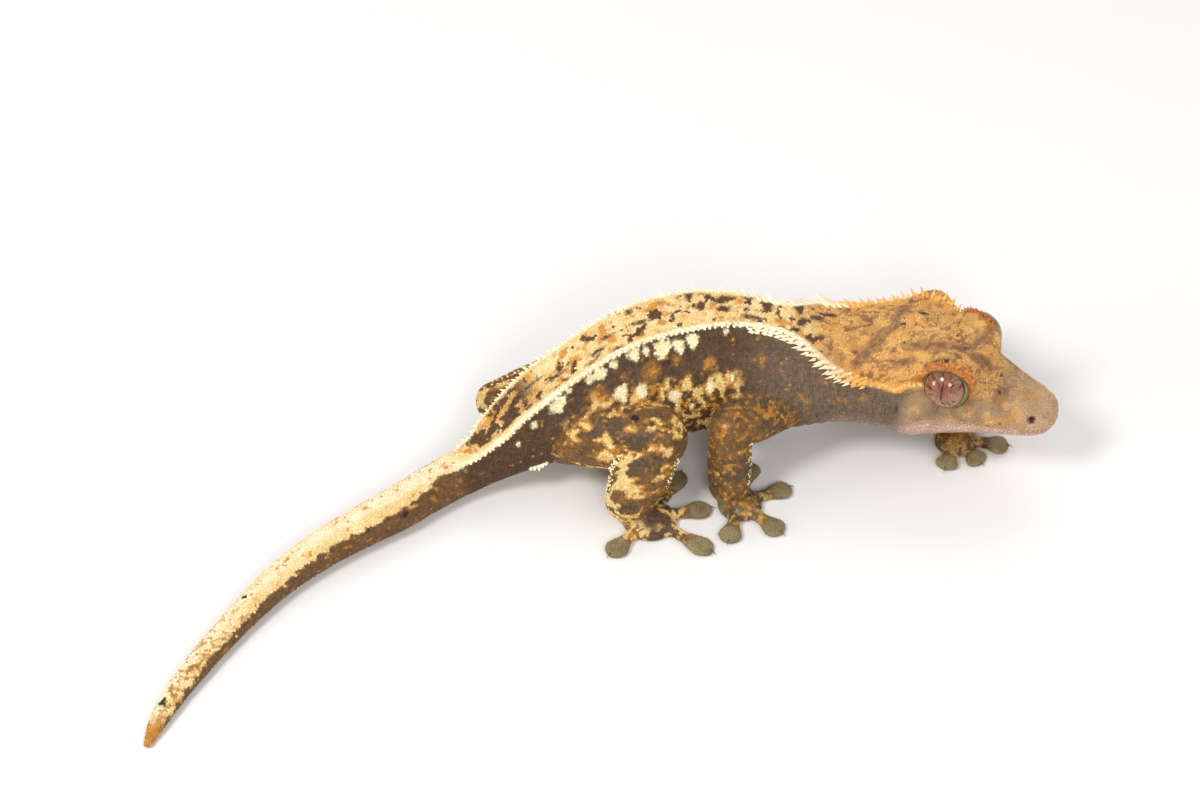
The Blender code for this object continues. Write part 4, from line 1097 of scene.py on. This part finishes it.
def chart_of(points, where):
    """An unwrap of the animal: which chart each point is on, and its place there in millimetres."""
    chart = np.zeros(len(points), int)
    flat = np.column_stack([where["along"], where["across"]])
    on_limb = where["on_limb"] > 0.5
    for number, (start, end, start_radius, end_radius) in enumerate(LIMBS.values()):
        start, end = np.array(start), np.array(end)
        line = (end - start) / np.linalg.norm(end - start)
        side = np.array(Vector(line).orthogonal().normalized())
        rel = points - start
        turn = np.arctan2(rel @ np.cross(line, side), rel @ side)
        mine = on_limb & (where["limb_number"] == number)
        chart[mine] = 1 + number
        flat[mine] = np.column_stack([rel @ line, turn * (start_radius + end_radius) / 2])[mine]
    sole = on_limb & (where["foot"] < 1.0)
    for number, (palm, _, _) in enumerate(FEET):
        mine = sole & (np.hypot(*(points[:, :2] - palm).T) < 16)
        chart[mine] = 9 + 2 * number + where["sole"][mine]
        flat[mine] = points[mine][:, :2]
    return chart, flat


def unwrap(chart, flat):
    """Places in the unit square, with each chart in a cell of its own."""
    used = np.unique(chart)
    cells = math.ceil(math.sqrt(len(used)))
    result = np.empty((len(chart), 2))
    for number, one in enumerate(used):
        mine = chart == one
        low, high = flat[mine].min(axis=0), flat[mine].max(axis=0)
        inner = (flat[mine] - low) / np.maximum(high - low, 1e-6) * 0.94 + 0.03
        result[mine] = (np.array((number % cells, number // cells)) + inner) / cells
    return result


def values_on(made, chosen, marks, tone_and_groove_shade, count):
    """Gives each corner of the scales or spines its root's markings and tint."""
    for name, values in marks.items():
        set_values(made, name, np.repeat(values[chosen], count))
    set_values(made, "tone_and_groove_shade", np.repeat(tone_and_groove_shade[chosen], count))


def lay_patches(made, centres, across, per_corner):
    """The bake map: a small patch at each root's place on the unwrap."""
    layer = made.data.uv_layers.new(name="OFBake")
    corner = np.empty(len(made.data.loops), np.int32)
    made.data.loops.foreach_get("vertex_index", corner)
    places = np.repeat(centres, per_corner, axis=0) + np.tile(across, (len(centres), 1)) * PATCH_SIZE / 2
    layer.data.foreach_set("uv", places[corner].ravel())


tree_of_roots = KDTree(len(roots))
for index, root in enumerate(roots):
    tree_of_roots.insert(root, index)
tree_of_roots.balance()
found = [tree_of_roots.find_n(root, NEIGHBOURS + 1)[1:] for root in roots]
neighbours = np.array([[index for _, index, _ in nearest] for nearest in found])
first, second = tangents(ways)
apart = roots[neighbours] - roots[:, None]
level = np.stack([np.einsum("ijk,ik->ij", apart, first), np.einsum("ijk,ik->ij", apart, second)], axis=-1)
scale_rng = np.random.default_rng(8)
turns = scale_rng.random(len(roots))[:, None] * 2 * math.pi / SIDES + np.arange(SIDES) * 2 * math.pi / SIDES
beams = np.stack([np.cos(turns), np.sin(turns)], axis=-1)
onto = np.einsum("ijk,ilk->ijl", beams, level)
half = np.sum(level**2, axis=-1)[:, None, :] / 2
reach = np.where(onto > 1e-4, half / np.maximum(onto, 1e-4), 9.0).min(axis=2)
reach = np.minimum(reach * REACH_SHARE, gaps[:, None] * MOST_REACH)
relief = np.full(len(roots), 0.36)
relief[root_where["along"] < HEAD_END] = 0.30
relief[root_where["height"] < BELLY_BELOW] = 0.16
relief[root_where["foot"] < FOOT_REACH] = 0.26
rise = relief * reach.mean(axis=1) * (0.85 + 0.3 * scale_rng.random(len(roots)))
scale_tint = np.clip(0.55 + 0.2 * scale_rng.standard_normal(len(roots)), 0.15, 1.0)


def scale_piece(name, chosen):
    """One piece of the coat: the chosen scales as closed low domes in one mesh."""
    count = len(chosen)
    out = first[chosen][:, None] * beams[chosen][..., :1] + second[chosen][:, None] * beams[chosen][..., 1:]
    out = out * reach[chosen][..., None]
    base = roots[chosen][:, None] + out - ways[chosen][:, None] * SEAT
    top = roots[chosen][:, None] + out * TOP_SHARE + ways[chosen][:, None] * rise[chosen][:, None, None]
    corners = np.concatenate([base, top], axis=1).reshape(-1, 3)
    corners[:, 2] = np.maximum(corners[:, 2], 0.01)
    ring = np.arange(SIDES)
    after = (ring + 1) % SIDES
    sides = np.stack([ring, after, after + SIDES, ring + SIDES], axis=1)
    starts = (np.arange(count) * 2 * SIDES)[:, None]
    faces = (starts[:, None] + sides[None]).reshape(-1, 4).tolist()
    faces += (starts + ring + SIDES).tolist()
    faces += (starts + ring[::-1]).tolist()
    made = to_mesh(name, corners, faces)
    made.data.shade_smooth()
    values_on(made, chosen, root_marks, scale_tint, 2 * SIDES)
    chart, flat = chart_of(roots[chosen], {key: value[chosen] for key, value in root_where.items()})
    hexagon = np.column_stack([np.cos(ring * math.pi / 3), np.sin(ring * math.pi / 3)])
    lay_patches(made, unwrap(chart, flat), np.concatenate([hexagon, hexagon * TOP_SHARE]), 2 * SIDES)
    made.data.materials.append(gecko_skin)
    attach(made, "root")


root_limb = root_where["on_limb"] > 0.5
root_foot = root_limb & (root_where["foot"] < FOOT_REACH)
along = root_where["along"]
# Pieces of the coat: where each begins and ends along the trunk, and which way from a border the legs' are.
for name, low, high, slot in (
    ("face_scales", 0, 16, "head_skin"),
    ("head_scales", 16, 28, "head_skin"),
    ("nape_scales", 28, 46, "head_skin"),
    ("chest_scales", 46, 66, "flank_skin"),
    ("belly_scales", 66, 86, "flank_skin"),
    ("hip_scales", 86, 112, "flank_skin"),
    ("tail_scales", 112, BODY_LENGTH + 1, "tail_skin"),
):
    scale_piece(name, np.flatnonzero(~root_limb & (along >= low) & (along < high)))
for name, chosen, border, slot in (
    ("leg_scales", root_limb & ~root_foot, 15, "leg_skin"),
    ("foot_scales", root_foot, 18.6, "toe_skin"),
):
    scale_piece("front_" + name, np.flatnonzero(chosen & (roots[:, 0] > border)))
    scale_piece("hind_" + name, np.flatnonzero(chosen & (roots[:, 0] <= border)))

# Crests, fringe and lashes. Soft pointed scales of horn rooted in the skin in a row along each edge of the
# back, longest behind the head; orange ones over each eye, and short pale ones on knees, heels and vent.
# How long a crest spine is at places along the backbone.
CREST_LENGTHS = (
    *((20, 0.4), (21.5, 0.85), (26, 1.1), (30, 0.75), (34, 1.0)),
    *((39, 1.8), (46, 1.5), (51, 0.9), (103, 0.5)),
)
CREST_START = 20.4
CREST_END = 103.0
CREST_STEP = 1.05
SPINE_RADIUS = 0.36
FRINGE = (34.0, 51.0)
SPINE_SIDES = 6
SPINE_SUNK = -0.25
SHORTEST_SPINE = 0.2
# Places along the backbone: the last crown row, the last spine of the crown piece, and the first low one.
HEAD_ROW_END, CROWN_END, LOW_FROM = 33, 36, 40
# Rings of a spine from root to tip: share of its length (below 0 is in the skin) and share of its radius.
SPINE_RINGS = ((-0.35, 1.0), (0.0, 1.0), (0.3, 0.78), (0.6, 0.5), (0.85, 0.22))
# Spines at each step along a crest: how much further back, how far over its line, and share of the full size.
FULL_ROW = ((0.0, 0.1, 1.0), (0.5, 0.5, 0.5), (0.3, -0.2, 0.5))
HEAD_ROW = ((0.0, 0.1, 1.0), (0.5, 0.35, 0.6))
FRINGE_ROW = ((0.5, -0.9, 0.75), (0.2, 0.9, 0.5), (0.7, -0.45, 0.8))
# Leg fringes on knee, heel, fore arm and far heel: limb, the way they face, from and to, number and length.
LEG_FRINGES = (
    ("right_shin", (1, -0.3, 0), 0.02, 0.55, 9, 0.32),
    ("right_shin", (-1, -0.25, 0), 0.25, 1.0, 11, 0.4),
    ("right_forearm", (1, -0.3, 0), 0.1, 0.95, 12, 0.22),
    ("left_shin", (0, 0.3, 1), 0.5, 0.98, 9, 0.4),
)
VENT = 93.0
box_top = cad_box[1][2] / MM - 0.02
spine_rng = np.random.default_rng(3)
skin_tree = BVHTree.FromPolygons(
    [Vector(point) for point in points], [tuple(face.vertices) for face in skin.data.polygons]
)


def on_skin(place):
    """The nearest point of the skin and the way out there."""
    found = skin_tree.find_nearest(Vector(place))
    return np.array(found[0]), np.array(found[1])


def spine_piece(name, spines, layer):
    """One piece of curved pointed scales, each given as root, direction, length, radius and bend."""
    starts, along, length, radius, bend = (np.array(values, float) for values in zip(*spines))
    along /= np.linalg.norm(along, axis=1)[:, None]
    one, two = tangents(along)
    turns = np.arange(SPINE_SIDES) * 2 * math.pi / SPINE_SIDES
    out = one[:, None] * np.cos(turns)[None, :, None] + two[:, None] * np.sin(turns)[None, :, None]
    rings, patch = [], []
    for share, width in SPINE_RINGS:
        depth = np.full(len(spines), SPINE_SUNK) if share < 0 else share * length
        middle = starts + along * depth[:, None] + bend * (max(share, 0) ** 2 * length)[:, None]
        rings.append(middle[:, None] + out * (radius * width)[:, None, None])
        patch.append(np.column_stack([np.cos(turns), np.sin(turns)]) * max(width, 0.1))
    tip = (starts + along * length[:, None] + bend * length[:, None])[:, None]
    corners = np.concatenate([*rings, tip], axis=1).reshape(-1, 3)
    corners[:, 2] = np.clip(corners[:, 2], 0.01, box_top)
    per = SPINE_SIDES * len(SPINE_RINGS) + 1
    faces = []
    for number in range(len(spines)):
        base = number * per
        faces.append(tuple(base + side for side in reversed(range(SPINE_SIDES))))
        for ring in range(len(SPINE_RINGS) - 1):
            low = base + ring * SPINE_SIDES
            for side in range(SPINE_SIDES):
                after = (side + 1) % SPINE_SIDES
                faces.append((low + side, low + after, low + SPINE_SIDES + after, low + SPINE_SIDES + side))
        low = base + (len(SPINE_RINGS) - 1) * SPINE_SIDES
        for side in range(SPINE_SIDES):
            faces.append((low + side, low + (side + 1) % SPINE_SIDES, base + per - 1))
    made = to_mesh(name, corners, faces)
    made.data.shade_smooth()
    spots = body_map(starts)
    marks = markings(starts, spots, np.full(len(starts), FAR_AWAY))
    # The patches of the flank and the dark spots don't run on over the spines.
    for key in ("dark", "brown", "amber", "white", "grey"):
        marks[key] = np.zeros(len(starts))
    marks[layer] = np.ones(len(starts))
    tone_and_groove_shade = np.clip(0.7 + 0.15 * spine_rng.standard_normal(len(starts)), 0.3, 1.0)
    values_on(made, np.arange(len(starts)), marks, tone_and_groove_shade, per)
    chart, flat = chart_of(starts, spots)
    lay_patches(made, unwrap(chart, flat), np.concatenate([*patch, [(0.0, 0.0)]]), per)
    made.data.materials.append(gecko_skin)
    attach(made, "root")


lengths = np.array(CREST_LENGTHS)
crests = {"head": [], "back": []}
for place in np.arange(CREST_START, CREST_END, CREST_STEP):
    fringe = FRINGE[0] < place < FRINGE[1]
    row = (HEAD_ROW if place < HEAD_ROW_END else FULL_ROW) + (FRINGE_ROW if fringe else ())
    for side in (1, -1):
        for further, over, share in row:
            here = place + further + spine_rng.uniform(-0.15, 0.15)
            shape = sections_at(here)[0]
            over -= FAR_EDGE * (side > 0) * (here > LOW_FROM)
            centre = shape[6] + math.degrees((over + 0.1) / ((shape[3] + shape[4]) / 2))
            angle = centre if side > 0 else 180 - centre
            root, way = on_skin(skin_points(here, angle, shape[7])[0])
            forward, left, up = (axis[0] for axis in axes_at(here))
            outward = left * math.cos(math.radians(angle)) + up * math.sin(math.radians(angle))
            way = way * 0.4 + outward * 0.6 if fringe else way * 0.2 + outward * 0.35 + up * 0.6
            if side > 0 and not fringe:
                way = outward * 0.45 + left * 0.6 + up * 0.3
            back = (1.0 if fringe else 0.55 if here > 25 else -0.3) * spine_rng.uniform(0.6, 1.4)
            length = np.interp(here, *lengths.T) * share
            length *= 0.65 if side < 0 and here < HEAD_ROW_END else 1.0
            length *= spine_rng.uniform(0.75, 1.15) * (1.6 if side > 0 else 1.0)
            radius = SPINE_RADIUS * (0.55 + 0.45 * share) * spine_rng.uniform(0.85, 1.1)
            group = "head" if here < CROWN_END else "back"
            way = way - forward * back - up * 0.35 * fringe
            tip = root[2] + length * way[2] / np.linalg.norm(way)
            length *= min(1.0, (box_top - root[2]) / max(tip - root[2], 0.01))
            crests[group].append((root, way, max(length, SHORTEST_SPINE), radius, -forward * 0.18))
spine_piece("crown_spines", crests["head"], "crestgold")
spine_piece("back_spines", crests["back"], "fringe")

# Lashes: how far over the lid's edge each row stands, from and to in degrees from behind, and length.
LASH_ROWS = ((5, 25, 168, 0.35), (10, 50, 150, 0.5), (17, 75, 140, 0.9))
LASH_STEP = 6.5
LASH_RADIUS = 0.22
FAR_LASH_END = 122
lashes = []
for side in (1, -1):
    look, behind, above, centre = eye_axes(side)
    for tilt, first, last, size in LASH_ROWS:
        for turn in np.arange(first, min(last, FAR_LASH_END) if side > 0 else last, LASH_STEP):
            turn = turn + spine_rng.uniform(-2.5, 2.5)
            ring = behind * math.cos(math.radians(turn)) + above * math.sin(math.radians(turn))
            off = math.radians(lid_edge(turn, side) + tilt + spine_rng.uniform(-2, 2))
            root, normal = on_skin(centre + (look * math.cos(off) + ring * math.sin(off)) * 5.2)
            length = size * spine_rng.uniform(0.5, 1.15) * (1.35 if side > 0 else 1.0)
            way = normal * 0.6 + ring * (0.6 if side < 0 else 0.9)
            lashes.append((root, way, length, LASH_RADIUS, ring * 0.1))
spine_piece("brow_lashes", lashes, "brow")

edges = []
for name, side_way, low, high, count, size in LEG_FRINGES:
    start, end, start_radius, end_radius = LIMBS[name]
    start, end = np.array(start), np.array(end)
    line = (end - start) / np.linalg.norm(end - start)
    outward = np.array(side_way, float)
    outward -= line * (outward @ line)
    outward /= np.linalg.norm(outward)
    for share in np.linspace(low, high, count):
        for twist in (-0.22, 0.0, 0.2):
            turned = outward + np.cross(line, outward) * (twist + spine_rng.uniform(-0.1, 0.1))
            radius = start_radius + (end_radius - start_radius) * share
            slid = share + spine_rng.uniform(-0.5, 0.5) * (high - low) / count
            root, normal = on_skin(start + (end - start) * slid + turned * radius)
            length = size * spine_rng.uniform(0.5, 1.1) * (1 - abs(twist))
            edges.append((root, normal + line * 0.35, length, LASH_RADIUS, line * 0.1))
for turn in (204, 336):
    for step, size in ((0.0, 0.95), (0.7, 0.7), (-0.6, 0.7), (1.3, 0.5), (-1.2, 0.5)):
        root, normal = on_skin(skin_points(VENT + step, turn)[0])
        edges.append((root, normal, size, 0.55, -axes_at(VENT)[0][0] * 0.3))
spine_piece("leg_edge_spines", edges, "fringe")

# Claws. One short hooked claw of dark polished horn past the end of each toe, a tapered tube bent down at its
# tip, its root set in the top of the toe's pad.
CLAW_LENGTH = 0.7
CLAW_RADIUS = 0.22
CLAW_HEIGHT = 0.7
CLAW_STEPS = 7
CLAW_SIDES = 10
CLAW_BACK = 0.75
HORN_STREAKS = 0.0006
turns = np.linspace(0, 2 * math.pi, CLAW_SIDES, endpoint=False)
upward = np.array((0.0, 0.0, 1.0))
claw_lofts = []
for palm, _, toes in FEET:
    for toe in toes:
        tip = np.array((*toe, CLAW_HEIGHT))
        along = tip - np.array((*palm, CLAW_HEIGHT))
        along /= np.linalg.norm(along)
        across = np.array((-along[1], along[0], 0.0))
        rings = []
        for step in range(CLAW_STEPS):
            share = step / (CLAW_STEPS - 1)
            width = CLAW_RADIUS * (1 - 0.93 * share**1.3)
            middle = tip + along * (CLAW_LENGTH * share - (1 - share) * CLAW_BACK * 0.6)
            middle = middle + upward * (0.18 * math.sin(math.pi * share) - 0.5 * share**2)
            out = across * (np.cos(turns) * width * 0.7)[:, None] + upward * (np.sin(turns) * width)[:, None]
            rings.append(middle + out)
        claw_lofts.append(join_rings(np.concatenate(rings), CLAW_STEPS))
claws = to_mesh("claws", *gather(claw_lofts))
face_outward(claws)
claws.data.shade_smooth()
material, tree, shader = new_material("dark_claw_horn", {"Roughness": 0.3})
place = add_node(tree, "TexCoord", out="Object")
streaks = add_node(tree, "TexNoise", {"Scale": 1 / HORN_STREAKS, "Detail": 3.0}, [("Vector", place)])
tree.links.new(blend(tree, streaks, "#3A3020", "#7A6A48"), shader.inputs["Base Color"])
claws.data.materials.append(material)
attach(claws, "root")

# Eyes. Each is a large ball under a clear fixed scale, with no moving lid: pinkish-brown iris netted with
# dark red veins that run in to a thin upright pupil, a dark ring round it, and an olive white at the front.
PUPIL_WAY = (-0.319, -0.885, 0.340)
IRIS_EDGE = 53.0
RING_WIDTH = 4.5
PUPIL_HALF_WIDTH = 1.8
PUPIL_HALF_HEIGHT = 26.0
EYE_FULL = EYE_RADIUS - 0.02
# A glossy clear coat over the colours, which are laid by the angle off the iris's axis: the UV map holds that
# angle and the way round, over 180 degrees.
clear_coat = {"Coat Weight": 1.0, "Coat Roughness": 0.02, "Coat IOR": 1.5}
eye_finish, tree, shader = new_material(
    "gecko_eye_glossy", {"Specular IOR Level": 0.0, "Roughness": 0.35, **clear_coat}
)
place = add_node(tree, "UVMap", {"uv_map": "iris"})
centred = add_node(tree, "VectorMath", {"operation": "SUBTRACT", 1: (0.5, 0.5, 0.0)}, [(0, place)])
degrees = add_node(tree, "VectorMath", {"operation": "SCALE", "Scale": 180.0}, [(0, centred)])
off = add_node(tree, "VectorMath", {"operation": "LENGTH"}, [(0, degrees)], "Value")
way = add_node(tree, "VectorMath", {"operation": "NORMALIZE"}, [(0, centred)])
spokes = add_node(tree, "VectorMath", {"operation": "SCALE", "Scale": 5.5}, [(0, way)])
inward = add_node(tree, "Math", {"operation": "MULTIPLY", 1: 0.055}, [(0, off)])
depth = add_node(tree, "CombineXYZ", {}, [("Z", inward)])
field = add_node(tree, "VectorMath", {"operation": "ADD"}, [(0, spokes), (1, depth)])
rays = add_node(tree, "TexNoise", {"Scale": 1.0, "Detail": 4.0, "Roughness": 0.7}, [("Vector", field)])
net = add_node(tree, "TexNoise", {"Scale": 0.42, "Detail": 3.0, "Roughness": 0.7}, [("Vector", degrees)])
veins = [add_node(tree, "MapRange", {1: 0.46, 2: 0.62}, [(0, source)]) for source in (rays, net)]
red = add_node(tree, "Math", {"operation": "MAXIMUM"}, list(enumerate(veins)))
level, upright = (add_node(tree, "SeparateXYZ", {}, [(0, degrees)], axis) for axis in ("X", "Y"))
upper = add_node(tree, "MapRange", {1: -25.0, 2: 40.0, 4: 0.6}, [(0, upright)])
middle = add_node(tree, "MapRange", {1: 4.0, 2: 24.0, 3: 0.75, 4: 0.0}, [(0, off)])
wide = add_node(tree, "Math", {"operation": "DIVIDE", 1: PUPIL_HALF_WIDTH}, [(0, level)])
tall = add_node(tree, "Math", {"operation": "DIVIDE", 1: PUPIL_HALF_HEIGHT}, [(0, upright)])
slit = add_node(tree, "CombineXYZ", {}, [("X", wide), ("Y", tall)])
slit = add_node(tree, "VectorMath", {"operation": "LENGTH"}, [(0, slit)], "Value")
ragged = add_node(tree, "MapRange", {3: -0.5, 4: 0.5}, [(0, net)])
slit = add_node(tree, "Math", {"operation": "ADD"}, [(0, slit), (1, ragged)])
pupil = add_node(tree, "MapRange", {1: 0.7, 2: 1.3, 3: 1.0, 4: 0.0}, [(0, slit)])
white = add_node(tree, "MapRange", {1: IRIS_EDGE, 2: IRIS_EDGE + 1.5}, [(0, off)])
rim = add_node(tree, "Math", {"operation": "SUBTRACT", 1: IRIS_EDGE + 1.5}, [(0, off)])
rim = add_node(tree, "Math", {"operation": "ABSOLUTE"}, [(0, rim)])
rim = add_node(tree, "MapRange", {1: RING_WIDTH * 0.35, 2: RING_WIDTH * 0.8, 3: 0.92, 4: 0.0}, [(0, rim)])
# The iris and its veins, browner above and redder close to the pupil, then the pupil, the white and the ring.
colour = blend(tree, red, "#B98E72", "#52190F")
for share, code in (
    (upper, "#6B3722"),
    (middle, "#7A2E26"),
    (pupil, "#1E0B0A"),
    (white, "#857A2C"),
    (rim, "#2A1712"),
):
    colour = blend(tree, share, colour, code)
tree.links.new(colour, shader.inputs["Base Color"])

# Both eyes look the same way round their own axes: the right one's pupil faces as the photo shows it.
gaze = np.array(eye_axes(-1)[:3]) @ np.array(PUPIL_WAY)
gaze /= np.linalg.norm(gaze)
for side, node in ((1, "left_eye"), (-1, "right_eye")):
    look, behind, above, centre = eye_axes(side)
    pupil_way = look * gaze[0] + behind * gaze[1] + above * gaze[2]
    iris_above = above - pupil_way * (above @ pupil_way)
    iris_above /= np.linalg.norm(iris_above)
    bpy.ops.object.select_all(action="DESELECT")
    bpy.ops.mesh.primitive_uv_sphere_add(segments=96, ring_count=64, radius=EYE_FULL * MM, location=(0, 0, 0))
    eye = bpy.context.object
    eye.name = node + "_ball"
    axes = np.column_stack([np.cross(iris_above, pupil_way), iris_above, pupil_way])
    turn = Matrix(axes.tolist()).to_4x4()
    middle = (centre - MIDDLE) * MM
    ball = np.empty(len(eye.data.vertices) * 3)
    eye.data.vertices.foreach_get("co", ball)
    ball = ball.reshape(-1, 3)
    ball /= np.linalg.norm(ball, axis=1)[:, None]
    off = np.degrees(np.arccos(np.clip(ball[:, 2], -1, 1)))
    round_way = np.arctan2(ball[:, 1], ball[:, 0])
    flat = np.column_stack([np.cos(round_way), np.sin(round_way)]) * off[:, None] / 180 + 0.5
    while eye.data.uv_layers:
        eye.data.uv_layers.remove(eye.data.uv_layers[0])
    layer = eye.data.uv_layers.new(name="iris")
    corner = np.empty(len(eye.data.loops), np.int32)
    eye.data.loops.foreach_get("vertex_index", corner)
    layer.data.foreach_set("uv", flat[corner].ravel())
    eye.data.transform(Matrix.Translation(middle) @ turn)
    eye.data.shade_smooth()
    eye.data.materials.clear()
    eye.data.materials.append(eye_finish)
    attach(eye, "root")
    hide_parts(node)

# Eye rims. The thin dark edge of the skin round each opening, a bare beaded roll turned in against the ball
# and built as a closed tube round it.
RIM_THICKNESS = 0.16
RIM_STEPS = 96
RIM_SIDES = 10
BEAD_SIZE = 0.0005
rim_material, tree, shader = new_material("dark_lid_edge", {"Roughness": 0.4})
place = add_node(tree, "TexCoord", out="Object")
beads = add_node(tree, "TexNoise", {"Scale": 1 / BEAD_SIZE, "Detail": 2.0}, [("Vector", place)])
tree.links.new(blend(tree, beads, "#3B2A1C", "#7A6230"), shader.inputs["Base Color"])
for side, name in ((1, "left"), (-1, "right")):
    look, behind, above, centre = eye_axes(side)
    turns = np.arange(RIM_STEPS) * 360 / RIM_STEPS
    off = np.radians(lid_edge(turns, side) + 1.0)[:, None]
    ring = behind * np.cos(np.radians(turns))[:, None] + above * np.sin(np.radians(turns))[:, None]
    outward = look * np.cos(off) + ring * np.sin(off)
    sideways = ring * np.cos(off) - look * np.sin(off)
    tube = np.arange(RIM_SIDES) * 2 * math.pi / RIM_SIDES
    corners = (centre + outward * (EYE_RADIUS + 0.04))[:, None] + RIM_THICKNESS * (
        outward[:, None] * np.cos(tube)[None, :, None] + sideways[:, None] * np.sin(tube)[None, :, None]
    )
    faces = []
    for step in range(RIM_STEPS):
        for part in range(RIM_SIDES):
            low, high = step * RIM_SIDES, (step + 1) % RIM_STEPS * RIM_SIDES
            after = (part + 1) % RIM_SIDES
            quad = (low + part, high + part, high + after, low + after)
            faces.append(quad if side < 0 else quad[::-1])
    rim = to_mesh(name + "_eye_rim", corners.reshape(-1, 3), faces)
    rim.data.shade_smooth()
    rim.data.materials.append(rim_material)
    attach(rim, "root")
